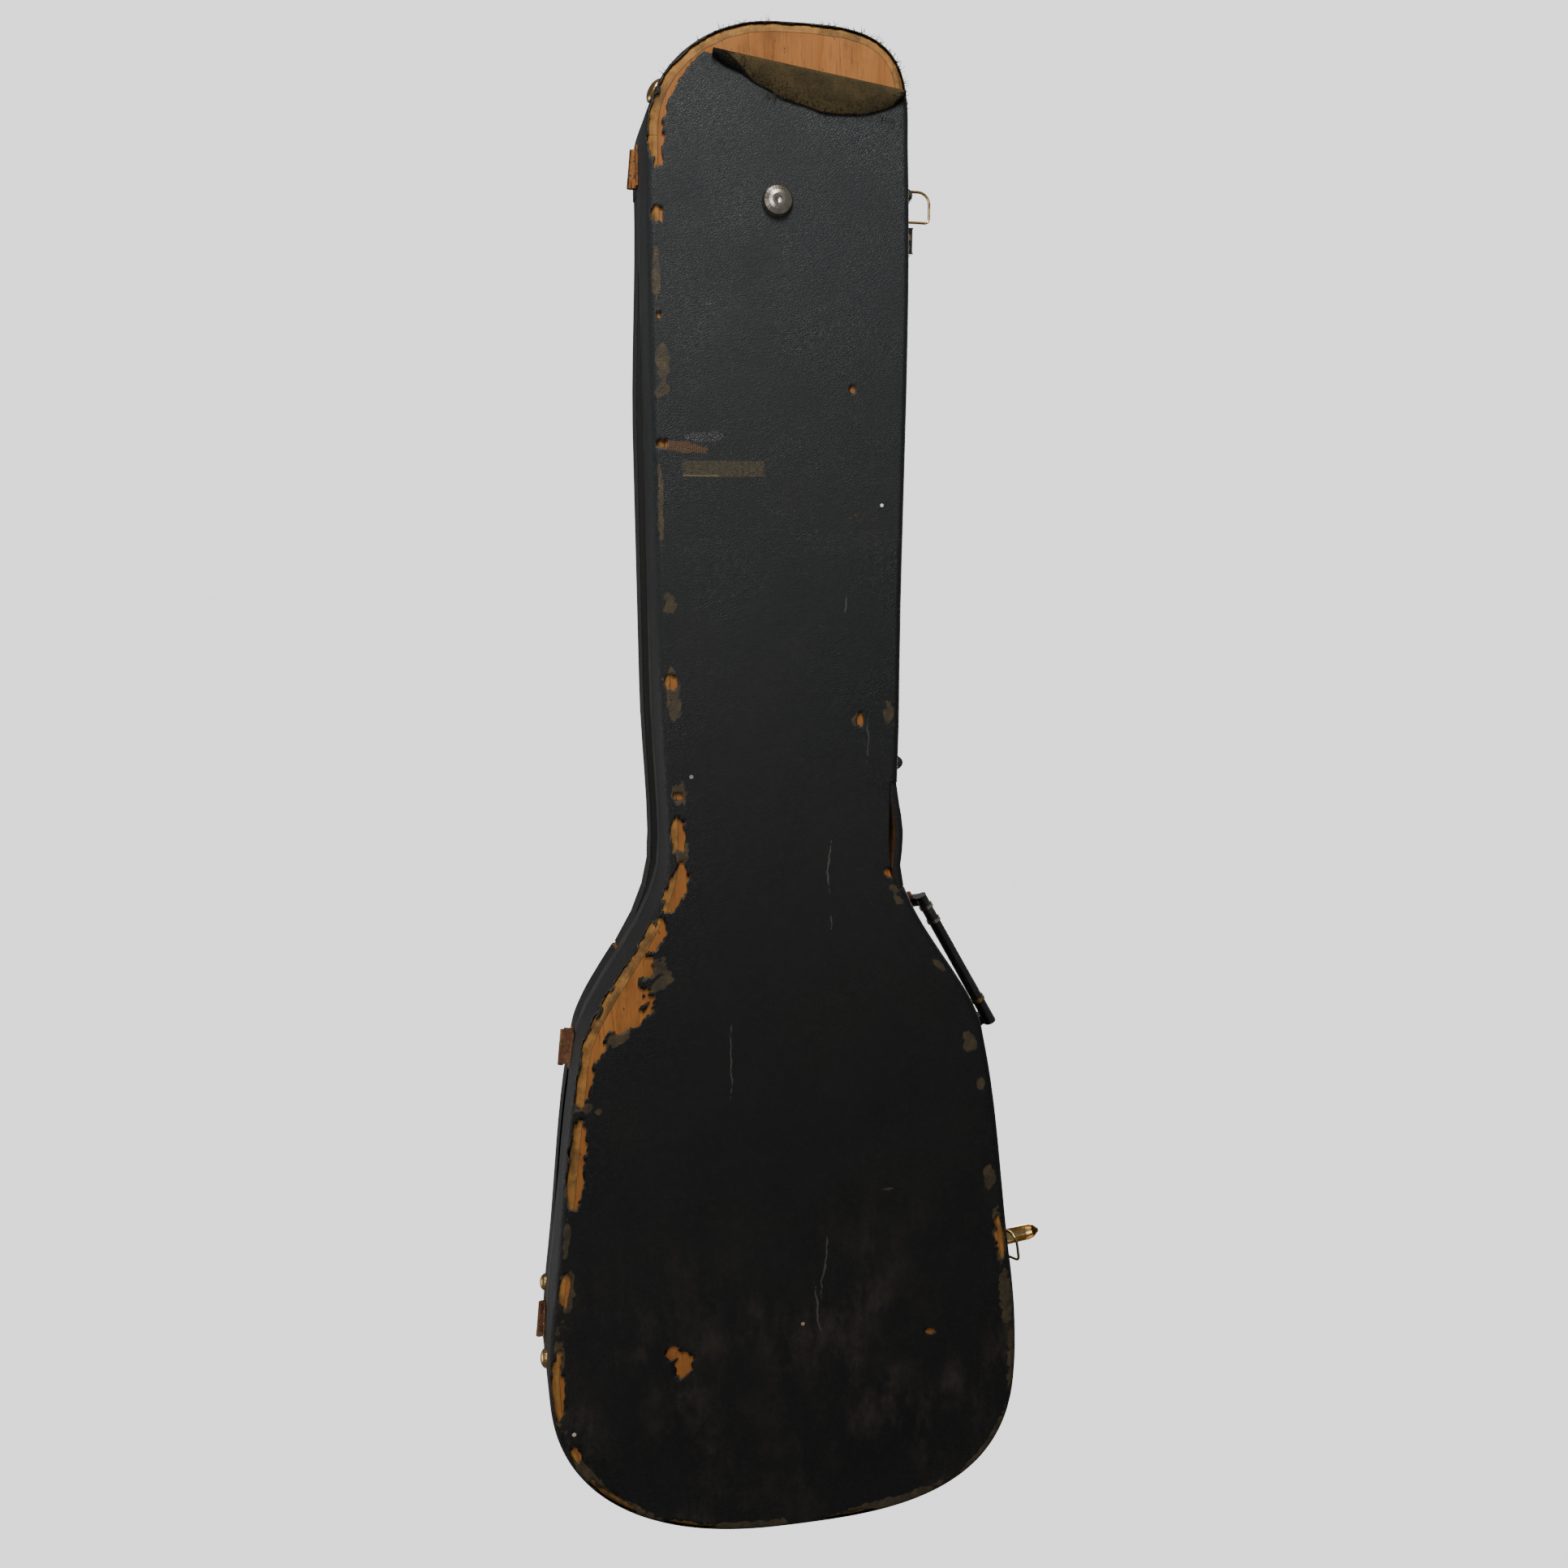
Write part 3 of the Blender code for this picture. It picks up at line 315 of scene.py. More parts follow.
def marks(n, colour):
    """What has been rubbed on or off the base's face: tape, scuffs, scratches and specks."""
    face = below(n, FACE_TOP)

    def lay(mask, tint, strength=1.0):
        nonlocal colour
        share = n.math("MULTIPLY", n.math("MULTIPLY", mask, face), strength)
        colour = n.mix(share, colour, tint)

    fibres = n.ramp(n.noise(420.0, 4.0, 0.8), 0.40, 0.60, 0.25, 1.0)
    tape = strip(n, (-0.2805, 0.0640), (0.0064, 0.033))
    lay(n.math("MULTIPLY", tape, fibres), OLIVE)
    tape_edge = strip(n, (-0.2750, 0.0830), (0.0006, 0.014))
    lay(tape_edge, (0.12, 0.09, 0.04), 0.7)
    stripes = n.add(
        "ShaderNodeTexWave",
        {"Vector": n.place, "Scale": 190.0, "Distortion": 2.0, "Detail": 2.0},
        bands_direction="Y",
    )
    scuff = spot(n, (-0.2975, 0.0985), (0.0042, 0.020), 6)
    lay(n.math("MULTIPLY", scuff, n.ramp(stripes, 0.1, 0.8, 0.25, 1.0)), (0.085, 0.038, 0.010))
    specks = n.ramp(n.noise(1100.0, 2.0, 0.8), 0.57, 0.64)
    lay(n.math("MULTIPLY", spot(n, (-0.3055, 0.0800), (0.0040, 0.017)), specks), (0.20, 0.20, 0.19))
    faint = n.ramp(n.noise(420.0, 3.0, 0.8), 0.54, 0.68)
    for centre, size in (
        ((-0.222, -0.041), (0.011, 0.046)),
        ((-0.219, 0.085), (0.008, 0.032)),
    ):
        lay(n.math("MULTIPLY", spot(n, centre, size, 0, 0.8), faint), (0.040, 0.040, 0.037), 0.6)
    lay(n.math("MULTIPLY", spot(n, (-0.243, -0.050), (0.004, 0.014)), faint), OLIVE, 0.8)
    drift = n.add("ShaderNodeTexNoise", {"Vector": n.place, "Scale": 45.0, "Detail": 4.0})
    drift = n.add(
        "ShaderNodeVectorMath",
        {0: drift.node.outputs["Color"], 1: (0.010, 0.010, 0.0)},
        operation="MULTIPLY",
    )
    drift = n.add("ShaderNodeVectorMath", {0: drift, 1: (-0.005, -0.005, 0.0)}, operation="ADD")
    wander = n.add("ShaderNodeVectorMath", {0: n.place, 1: drift}, operation="ADD")
    scratches = (
        ((-0.171, -0.0340), (0.0072, 0.0007), 6),
        ((0.045, -0.0200), (0.0210, 0.0008), 3),
        ((0.092, -0.0210), (0.0060, 0.0006), -4),
        ((0.389, -0.0130), (0.0280, 0.0008), 8),
        ((0.430, -0.0070), (0.0240, 0.0008), -7),
        ((0.205, 0.0650), (0.0300, 0.0006), 2),
        ((-0.060, -0.0530), (0.0180, 0.0005), 1),
    )
    for centre, size, angle in scratches:
        lay(spot(n, centre, size, angle, 0.6, 300, wander), (0.10, 0.095, 0.085), 0.45)
    for centre, radius, tint in (
        ((-0.252, -0.0660), 0.0014, (0.70, 0.70, 0.68)),
        ((0.441, 0.0060), 0.0017, (0.28, 0.20, 0.12)),
        ((0.518, 0.2030), 0.0018, (0.45, 0.38, 0.28)),
        ((-0.034, 0.0945), 0.0016, (0.20, 0.20, 0.19)),
    ):
        lay(spot(n, centre, (radius, radius), 0, 0.2), tint)
    worn = n.add("ShaderNodeAttribute", attribute_name="worn", attribute_type="GEOMETRY").node
    cloth = n.ramp(n.noise(110.0, 5.0, 0.7), 0.35, 0.65)
    shade = n.mix(cloth, WORN, (0.022, 0.018, 0.011))
    return n.mix(n.ramp(worn.outputs["Fac"], 0.10, 0.30), colour, shade)


def plywood(name, edge=False):
    """Orange veneer with its grain along the case, or the paler, layered edge of bent ply."""
    n = Nodes(name)
    axes = n.axes(n.place)
    fibres = n.noise(55.0, 7.0, 0.65, stretch=(0.10, 1.0, 1.0))
    pores = n.noise(520.0, 3.0, 0.6, stretch=(0.07, 1.0, 1.0))
    colour = n.mix(n.ramp(fibres, 0.30, 0.70), (0.33, 0.128, 0.026), (0.20, 0.068, 0.012))
    colour = n.mix(n.ramp(pores, 0.55, 0.70, 0.0, 0.6), colour, (0.085, 0.028, 0.006))
    grime = n.ramp(n.noise(26.0, 6.0, 0.7), 0.46, 0.70)
    colour = n.mix(n.math("MULTIPLY", grime, 0.5), colour, (0.075, 0.030, 0.008))
    spots = n.ramp(n.noise(330.0, 2.0, 0.6, stretch=(0.5, 1.0, 1.0)), 0.68, 0.74)
    colour = n.mix(n.math("MULTIPLY", spots, 0.8), colour, (0.030, 0.012, 0.004))
    if edge:
        pale = n.mix(n.ramp(n.noise(90.0, 5.0), 0.35, 0.65), (0.34, 0.17, 0.042), (0.20, 0.095, 0.022))
        low = n.ramp(axes["Z"], 0.0150, 0.0125)
        colour = n.mix(n.math("MULTIPLY", low, 0.8), colour, pale)
        worn = n.ramp(n.noise(34.0, 6.0, 0.7), 0.44, 0.60)
        colour = n.mix(n.math("MULTIPLY", worn, 0.75), colour, (0.060, 0.036, 0.013))
        # Painted shade: a near-black band at the seam's height, standing in for the shade in the gap
        # between lid and base walls.
        rim = n.math("ABSOLUTE", n.math("SUBTRACT", axes["Z"], RIM_Z))
        colour = n.mix(n.ramp(rim, 0.0016, 0.0008), colour, (0.008, 0.008, 0.007))
    rough = n.ramp(fibres, 0.3, 0.7, 0.62, 0.80)
    normal = n.bump(n.noise(240.0, 4.0, 0.7, stretch=(0.08, 1.0, 1.0)), 0.0006, 0.6)
    return n.finish(colour=colour, rough=rough, normal=normal, specular=0.3)


def band():
    n = Nodes("smooth_band")
    dull = n.noise(30.0, 6.0, 0.7)
    colour = n.mix(n.ramp(dull, 0.45, 0.70, 0.0, 0.6), (0.007, 0.007, 0.008), (0.045, 0.038, 0.030))
    normal = n.bump(n.noise(110.0, 4.0), 0.0004, 0.35)
    return n.finish(colour=colour, rough=n.ramp(dull, 0.3, 0.7, 0.50, 0.68), normal=normal)


def plush(name, tint=(0.034, 0.010, 0.014)):
    n = Nodes(name)
    nap = n.noise(1400.0, 2.0, 0.7)
    patches = n.noise(18.0, 4.0, 0.6)
    dark = tuple(c * 0.45 for c in tint)
    colour = n.mix(n.ramp(patches, 0.35, 0.65), dark, tint)
    colour = n.mix(n.ramp(nap, 0.35, 0.7, 0.0, 0.6), colour, tuple(c * 2.2 for c in tint))
    normal = n.bump(nap, 0.0014, 0.9)
    normal = n.bump(patches, 0.003, 0.4, normal)
    return n.finish(colour=colour, rough=0.95, normal=normal, sheen=0.30, sheen_rough=0.45, specular=0.12)


def metal(name, clean, stained, worn=0.5, rough=(0.18, 0.42), dull=None, pits=0.25):
    """Metal that has stained in patches.

    dull, where given, is rust or paint over it: its colour, how much metal it leaves bare, and
    its roughness.
    """
    n = Nodes(name)
    patches = n.noise(150.0, 6.0, 0.65)
    colour = n.mix(n.ramp(patches, worn - 0.12, worn + 0.12), clean, stained)
    metallic, roughness = 1.0, n.ramp(patches, 0.3, 0.7, *rough)
    if dull:
        cover = n.ramp(n.noise(210.0, 7.0, 0.7), dull[1] - 0.04, dull[1] + 0.04)
        colour = n.mix(cover, colour, dull[0])
        metallic = n.math("SUBTRACT", 1.0, cover)
        roughness = n.add("ShaderNodeMix", {0: cover, 2: roughness, 3: dull[2]})
    normal = n.bump(n.noise(700.0, 4.0, 0.6), 0.0003, pits)
    return n.finish(colour=colour, rough=roughness, metal=metallic, normal=normal)


def moulded(name):
    n = Nodes(name)
    scuffs = n.ramp(n.noise(80.0, 6.0, 0.7, stretch=(0.3, 1.0, 1.0)), 0.52, 0.70)
    colour = n.mix(n.math("MULTIPLY", scuffs, 0.35), (0.006, 0.006, 0.006), (0.07, 0.06, 0.05))
    rough = n.ramp(scuffs, 0.0, 1.0, 0.14, 0.42)
    normal = n.bump(n.noise(60.0, 3.0), 0.0008, 0.25)
    return n.finish(colour=colour, rough=rough, normal=normal, coat=0.3, coat_rough=0.12)


def backing():
    """The woven cloth behind the vinyl, stiff with old glue. Its near-black is painted shadow, broken up
    by noise: darkest towards its free edge and at its ends, read from the flap's worn attribute.
    """
    n = Nodes("vinyl_backing")
    weave = n.noise(1100.0, 2.0, 0.7)
    patches = n.noise(45.0, 6.0, 0.7)
    colour = n.mix(n.ramp(patches, 0.35, 0.62), (0.066, 0.048, 0.022), (0.036, 0.028, 0.014))
    black = n.ramp(n.noise(420.0, 5.0, 0.8), 0.50, 0.58)
    # Painted shadow: on the flap the worn attribute holds its painted shadow, not wear.
    edge = n.add("ShaderNodeAttribute", attribute_name="worn", attribute_type="GEOMETRY").node
    black = n.math("MULTIPLY", black, n.ramp(edge.outputs["Fac"], 0.15, 0.85, 0.25, 1.0))
    black = n.math("MAXIMUM", black, n.ramp(edge.outputs["Fac"], 0.86, 0.97))
    colour = n.mix(black, colour, (0.005, 0.005, 0.004))
    colour = n.mix(n.ramp(weave, 0.50, 0.75, 0.0, 0.35), colour, (0.11, 0.085, 0.045))
    return n.finish(colour=colour, rough=0.95, normal=n.bump(weave, 0.0012, 0.9), specular=0.1)


def thread():
    n = Nodes("black_thread")
    colour = n.mix(n.ramp(n.noise(90.0), 0.4, 0.6), (0.010, 0.010, 0.009), (0.030, 0.024, 0.016))
    return n.finish(colour=colour, rough=0.9, specular=0.2)


VINYL_BASE = vinyl("vinyl_base", marked=True)
VINYL = vinyl("vinyl_plain")
VENEER, PLY_EDGE = plywood("ply_veneer"), plywood("ply_edge", edge=True)
PLUSH = plush("plush")
THREAD, BACKING = thread(), backing()
GRIP = moulded("moulded_black")
BRIGHT_BRASS = metal("bright_brass", (0.72, 0.52, 0.24), (0.46, 0.27, 0.09), 0.56, (0.12, 0.35))
OLD_BRASS = metal("old_brass", (0.50, 0.34, 0.14), (0.20, 0.12, 0.05), 0.48, (0.25, 0.5))
NICKEL = metal("nickel", (0.52, 0.49, 0.43), (0.26, 0.20, 0.13), 0.58, (0.14, 0.32), pits=0.10)
RED_RUST = (0.085, 0.026, 0.008), 0.50, 0.9
BROWN_RUST = (0.06, 0.022, 0.008), 0.54, 0.8
BLACK_PAINT = (0.010, 0.010, 0.010), 0.42, 0.32
RUST = metal("rusty_steel", (0.34, 0.20, 0.10), (0.11, 0.05, 0.03), 0.50, (0.3, 0.55), RED_RUST)
COPPER = metal("copper_hinge", (0.42, 0.19, 0.06), (0.15, 0.06, 0.02), 0.48, (0.2, 0.45), BROWN_RUST)
JAPANNED = metal("japanned_steel", (0.55, 0.44, 0.27), (0.25, 0.17, 0.09), 0.5, (0.2, 0.4), BLACK_PAINT)

# The material of each CAD node whose name holds the text. The first match counts.
LOOKS = {
    "base_panel": VENEER,
    "lid_panel": VENEER,
    "_wall_": PLY_EDGE,
    "_covering": VINYL,
    "rim_band": band(),
    "lining": PLUSH,
    "partition": PLUSH,
    "compartment_lid": PLUSH,
    "neck_block": PLUSH,
    "_pad": PLUSH,
    "pull_tab": GRIP,
    "foot": NICKEL,
    "stud_": OLD_BRASS,
    "hinge_head": COPPER,
    "hinge_": RUST,
    "_plate": JAPANNED,
    "_keeper": NICKEL,
    "latch_bout_lever": BRIGHT_BRASS,
    "_lever": JAPANNED,
    "_bail": OLD_BRASS,
    "side_bracket": JAPANNED,
    "handle_bracket": RUST,
    "handle_ring_bout": OLD_BRASS,
    "handle_ring": NICKEL,
    "handle_": GRIP,
}


def dress(obj, *materials):
    obj.data.materials.clear()
    for material in materials:
        obj.data.materials.append(material)


def rounded(obj, width, segments=2):
    step = obj.modifiers.new("rounded", "BEVEL")
    step.width = width
    step.segments = segments
    step.limit_method = "ANGLE"
    step.angle_limit = math.radians(40)


def dress_frame():
    """Gives every CAD node its material, and the small metal parts and the grip's ends soft edges."""
    for name, node in nodes.items():
        dress(node, next(look for part, look in LOOKS.items() if part in name))
        if name.startswith("handle_cap"):
            rounded(node, 0.0022, 4)
        elif name.endswith(("_plate", "_keeper", "_leaf")) or "bracket" in name:
            rounded(node, 0.0003)


# ---------------------------------------------------------------- sheets that follow the case

SIDE_STEP = 0.004
BEND_STEPS = 6
BEND_SHAPE = 1.4  # 1 makes a bend round, and 2 a straight chamfer
CROWDING = 1.15  # above 1, the columns lie closer together near the edge


def across(inset, fold, face_z, rim_z, columns):
    """Every row's points from one rim to the other, and how far in from the fold each one is.

    The distance is negative over the bend and down the side.
    """
    up = 1 if rim_z > face_z else -1
    straight = max(2, int(abs(rim_z - face_z) / SIDE_STEP))
    side_run = abs(rim_z - face_z) - fold
    profile = [(0.0, rim_z - up * side_run * i / straight) for i in range(straight)]
    for i in range(BEND_STEPS):
        turn = math.radians(90) * i / BEND_STEPS
        in_from_side = fold * (math.cos(turn) ** BEND_SHAPE - 1)
        profile.append((in_from_side, face_z + up * fold * (1 - math.sin(turn) ** BEND_SHAPE)))
    profile = np.array(profile)
    whole = np.vstack([profile, [(-fold, face_z)]])
    lengths = np.hypot(*np.diff(whole, axis=0).T)
    reach = -np.cumsum(lengths[::-1])[::-1]
    parts = {}
    for side in (HINGE_SIDE, LATCH_SIDE):
        points, normals = ROWS[side]
        points = points - normals * inset
        wall = points[:, None] + normals[:, None] * profile[None, :, :1]
        wall = np.dstack([wall, np.broadcast_to(profile[:, 1], wall.shape[:2])])
        fold_line = points - normals * fold
        spine = np.stack([np.clip(fold_line[:, 0], *SPINE), np.full(len(points), MIDLINE)], axis=1)
        share = (np.linspace(0, 1, columns + 1) ** CROWDING)[None, :, None]
        flat = fold_line[:, None] * (1 - share) + spine[:, None] * share
        depth = np.abs(((flat - fold_line[:, None]) * normals[:, None]).sum(axis=2))
        flat = np.dstack([flat, np.full(flat.shape[:2], face_z)])
        parts[side] = (np.hstack([wall, flat]), np.hstack([np.broadcast_to(reach, wall.shape[:2]), depth]))
    hinge, latch = parts[HINGE_SIDE], parts[LATCH_SIDE]
    points = np.hstack([hinge[0], latch[0][:, -2::-1]])
    depths = np.hstack([hinge[1], latch[1][:, -2::-1]])
    return points, depths


def sheet_object(name, points, outward_down, hole=None, worn=None):
    """A mesh from a grid of points. hole, where given, is above 0 where the sheet is gone.

    worn, where given, is stored with the points for the material to read: wear on the base's vinyl, and
    painted shadow on the peeled flap.
    """
    rows, columns = points.shape[:2]
    index = np.arange(rows * columns).reshape(rows, columns)
    quads = np.stack([index[:-1, :-1], index[1:, :-1], index[1:, 1:], index[:-1, 1:]], axis=2)
    quads = quads.reshape(-1, 4)
    if outward_down:
        quads = quads[:, ::-1]
    flat = points.reshape(-1, 3)
    if hole is not None:
        values = hole.reshape(-1)
        quads = quads[values[quads].mean(axis=1) < 0]
        flat = snapped(flat, values, quads, index, hole, points)
    mesh = bpy.data.meshes.new(name)
    mesh.from_pydata(flat.tolist(), [], quads.tolist())
    if worn is not None:
        layer = mesh.attributes.new("worn", "FLOAT", "POINT")
        layer.data.foreach_set("value", worn.reshape(-1).astype(np.float32))
    shape = bmesh.new()
    shape.from_mesh(mesh)
    loose = [v for v in shape.verts if not v.link_faces]
    bmesh.ops.delete(shape, geom=loose, context="VERTS")
    bmesh.ops.remove_doubles(shape, verts=shape.verts, dist=0.00005)
    shape.to_mesh(mesh)
    shape.free()
    mesh.shade_smooth()
    return placed(name, mesh)


def snapped(flat, values, quads, index, hole, points):
    """Moves the corners round each hole onto its ragged edge."""
    steps = [np.gradient(points, axis=axis) for axis in (0, 1)]
    slopes = [np.gradient(hole, axis=axis) for axis in (0, 1)]
    counts = np.bincount(quads.reshape(-1), minlength=len(flat))
    inside = np.zeros(index.shape, bool)
    inside[1:-1, 1:-1] = True
    edge = inside.reshape(-1) & (counts > 0) & (counts < 4) & (np.abs(values) < 1.5)
    moved = flat.copy()
    total = sum(slope.reshape(-1) ** 2 for slope in slopes) + 1e-9
    for step, slope in zip(steps, slopes):
        share = np.clip(-values * slope.reshape(-1) / total, -0.6, 0.6)
        moved += np.where(edge, share, 0.0)[:, None] * step.reshape(-1, 3)
    return moved


def raggedness(points, scale, seed=0.0):
    """Fractal noise at each point of a grid."""
    flat = points.reshape(-1, 3)
    shift = Vector((seed, seed * 0.7, 0.0))
    values = [noise.fractal(Vector(p) * scale + shift, 0.7, 2.0, 4) for p in flat]
    return np.array(values).reshape(points.shape[:2])


def along_side(side):
    """How far along one side's edge each row is from the head."""
    points = ROWS[side][0]
    return np.concatenate([[0], np.cumsum(np.hypot(*np.diff(points, axis=0).T))])


# Where the base's edge is damaged: the place on the edge, the length of the chip, and how far it
# reaches in over the face and out over the bend. One that is negative over the bend starts that
# far in over the face. In BARE_CHIPS the plywood shows, and in WORN_CHIPS only the cloth backing.
BARE_CHIPS = (
    ((-0.609, 0.070), 0.050, 0.006, 0.003),
    ((-0.575, 0.100), 0.070, 0.008, 0.004),
    ((-0.540, 0.115), 0.062, 0.009, 0.004),
    ((-0.475, 0.121), 0.014, 0.008, 0.003),
    ((-0.400, 0.120), 0.005, 0.006, 0.002),
    ((-0.299, 0.119), 0.006, 0.010, 0.002),
    ((-0.112, 0.119), 0.013, 0.010, 0.002),
    ((-0.018, 0.117), 0.006, 0.010, 0.000),
    ((0.013, 0.116), 0.028, 0.010, 0.002),
    ((0.056, 0.118), 0.036, 0.013, 0.004),
    ((0.096, 0.135), 0.036, 0.010, 0.006),
    ((0.125, 0.152), 0.044, 0.013, 0.007),
    ((0.148, 0.168), 0.026, 0.028, 0.007),
    ((0.162, 0.177), 0.026, 0.034, 0.007),
    ((0.184, 0.188), 0.036, 0.013, 0.006),
    ((0.212, 0.193), 0.050, 0.008, 0.004),
    ((0.282, 0.202), 0.074, 0.011, 0.003),
    ((0.392, 0.216), 0.034, 0.007, 0.001),
    ((0.477, 0.221), 0.066, 0.007, 0.003),
    ((0.540, 0.207), 0.014, 0.008, 0.001),
    ((0.592, 0.180), 0.055, 0.003, 0.006),
    ((0.618, 0.110), 0.050, 0.002, 0.005),
    ((0.050, -0.084), 0.008, 0.008, 0.003),
    ((0.379, -0.178), 0.038, 0.007, 0.002),
    ((0.621, -0.036), 0.050, 0.001, 0.005),
)
WORN_CHIPS = (
    ((-0.430, 0.120), 0.050, 0.004, 0.003),
    ((-0.363, 0.120), 0.027, 0.011, 0.002),
    ((-0.341, 0.119), 0.013, 0.010, 0.002),
    ((-0.250, 0.119), 0.070, 0.003, 0.002),
    ((-0.173, 0.119), 0.016, 0.012, 0.001),
    ((-0.108, 0.119), 0.028, 0.012, 0.001),
    ((-0.090, 0.119), 0.022, 0.013, 0.000),
    ((-0.021, 0.117), 0.022, 0.013, 0.000),
    ((0.028, 0.117), 0.020, 0.014, 0.000),
    ((0.120, 0.152), 0.026, 0.024, -0.006),
    ((0.134, 0.160), 0.022, 0.036, -0.020),
    ((0.176, 0.184), 0.020, 0.030, -0.010),
    ((0.237, 0.196), 0.012, 0.013, -0.002),
    ((0.240, 0.197), 0.006, 0.021, -0.014),
    ((0.345, 0.210), 0.040, 0.004, 0.002),
    ((0.392, 0.216), 0.042, 0.012, 0.000),
    ((0.470, 0.221), 0.110, 0.008, 0.002),
    ((0.560, 0.200), 0.070, 0.007, 0.003),
    ((0.600, 0.165), 0.060, 0.005, 0.004),
    ((0.618, 0.060), 0.090, 0.005, 0.003),
    ((-0.082, -0.081), 0.022, 0.010, -0.001),
    ((-0.077, -0.081), 0.014, 0.036, -0.028),
    ((0.062, -0.087), 0.011, 0.009, 0.000),
    ((0.073, -0.090), 0.009, 0.008, -0.001),
    ((0.130, -0.125), 0.014, 0.006, 0.000),
    ((0.201, -0.155), 0.020, 0.016, -0.003),
    ((0.241, -0.161), 0.012, 0.010, -0.001),
    ((0.325, -0.172), 0.022, 0.013, -0.001),
    ((0.380, -0.178), 0.060, 0.009, 0.001),
    ((0.436, -0.183), 0.060, 0.010, 0.003),
    ((0.490, -0.184), 0.060, 0.004, 0.003),
    ((0.560, -0.150), 0.090, 0.003, 0.003),
    ((0.612, -0.070), 0.110, 0.007, 0.004),
)
# Where it is gone from the middle of the face: the place and the size.
FACE_CHIPS = (
    ((0.4660, 0.1100), (0.0110, 0.0085)),
    ((0.4560, 0.1190), (0.0060, 0.0070)),
    ((0.4600, -0.1070), (0.0032, 0.0050)),
    ((-0.3440, -0.0420), (0.0030, 0.0030)),
    ((-0.0770, -0.0470), (0.0065, 0.0026)),
    ((0.3270, -0.0690), (0.0016, 0.0050)),
    ((0.1240, 0.1340), (0.0060, 0.0060)),
)
# How far in over the face each shell's vinyl has torn along its sprung wall.
TORN_DEPTH = {"base": 0.0018, "lid": 0.0082}
FOLD_LINE = Vector((-0.5971, 0.0688)), Vector((-0.5732, -0.0852))


def chipped(points, depths, chips, rough, fine):
    """Above 0 inside the chips of one list."""
    field = np.full(points.shape[:2], -2.0)
    half = points.shape[1] // 2
    for place, length, reach_in, reach_over in chips:
        side = HINGE_SIDE if place[1] > MIDLINE else LATCH_SIDE
        edge = ROWS[side][0]
        nearest = int(np.hypot(*(edge - np.array(place)).T).argmin())
        run = along_side(side)
        along = (run - run[nearest])[:, None] / (length / 2)
        centre, spread = (reach_in - reach_over) / 2, (reach_in + reach_over) / 2
        chip = np.maximum(1 - along**2 - ((depths - centre) / spread) ** 2, -2)
        columns = slice(0, half) if side == HINGE_SIDE else slice(half + 1, None)
        ragged = chip[:, columns] + 0.75 * rough[:, columns] + 0.45 * fine[:, columns]
        field[:, columns] = np.maximum(field[:, columns], ragged)
    return field


def base_damage(points, depths):
    """Two fields for the base's vinyl: above 0 where it is gone, and where it is worn through."""
    rough = raggedness(points, 140.0)
    fine = raggedness(points, 420.0, 3.0)
    gone = chipped(points, depths, BARE_CHIPS, rough, fine)
    worn = chipped(points, depths, WORN_CHIPS, rough, fine)
    on_face = depths >= -1e-6
    for place, size in FACE_CHIPS:
        apart = (points[:, :, :2] - np.array(place)) / np.array(size)
        chip = 1 - (apart**2).sum(axis=2) + 0.5 * rough + 0.35 * fine
        gone = np.where(on_face, np.maximum(gone, chip), gone)
    along = (FOLD_LINE[1] - FOLD_LINE[0]).normalized()
    towards_head = np.array((along.y, -along.x))
    beyond = (points[:, :, :2] - np.array(FOLD_LINE[0])) @ towards_head / 0.003
    frayed = (depths + 0.0042) / 0.0012 + 1.2 * rough + 0.9 * fine
    gone = np.maximum(gone, np.clip(np.minimum(beyond, frayed), -2, 2))
    return gone, np.maximum(worn, gone + 0.30 + 0.4 * rough)


def torn_at(points, depths, node, side, reach):
    """Above 0 where a sprung wall has taken its strip of the vinyl with it."""
    low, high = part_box(node)
    half = points.shape[1] // 2
    x = points[:, :, 0]
    inside = np.minimum(x - low.x, high.x - x) / 0.002 - 0.6
    torn = np.minimum(inside, (reach - depths) / 0.002)
    other = slice(half, None) if side == HINGE_SIDE else slice(0, half + 1)
    torn[:, other] = -2
    return np.clip(torn, -2, 2)


def thicken(obj, thickness):
    step = obj.modifiers.new("thickness", "SOLIDIFY")
    step.thickness = thickness
    step.offset = -1.0
    return step


def coverings():
    """The vinyl of both shells, over the plywood that shows through its holes."""
    for shell, node, side, look in (
        ("base", "base_covering", LATCH_SIDE, VINYL_BASE),
        ("lid", "lid_covering", HINGE_SIDE, VINYL),
    ):
        low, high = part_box(node)
        face_z, rim_z = (low.z, high.z) if shell == "base" else (high.z, low.z)
        points, depths = across(0.0, EDGE, face_z, rim_z, 56)
        hole, worn = torn_at(points, depths, f"{node}_sprung", side, TORN_DEPTH[shell]), None
        if shell == "base":
            gone, worn = base_damage(points, depths)
            hole = np.maximum(hole, gone)
        sheet = sheet_object(f"{shell}_vinyl", points, shell == "base", hole, worn)
        thicken(sheet, SKIN)
        dress(sheet, look)
        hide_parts(node)
        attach(sheet, shell)


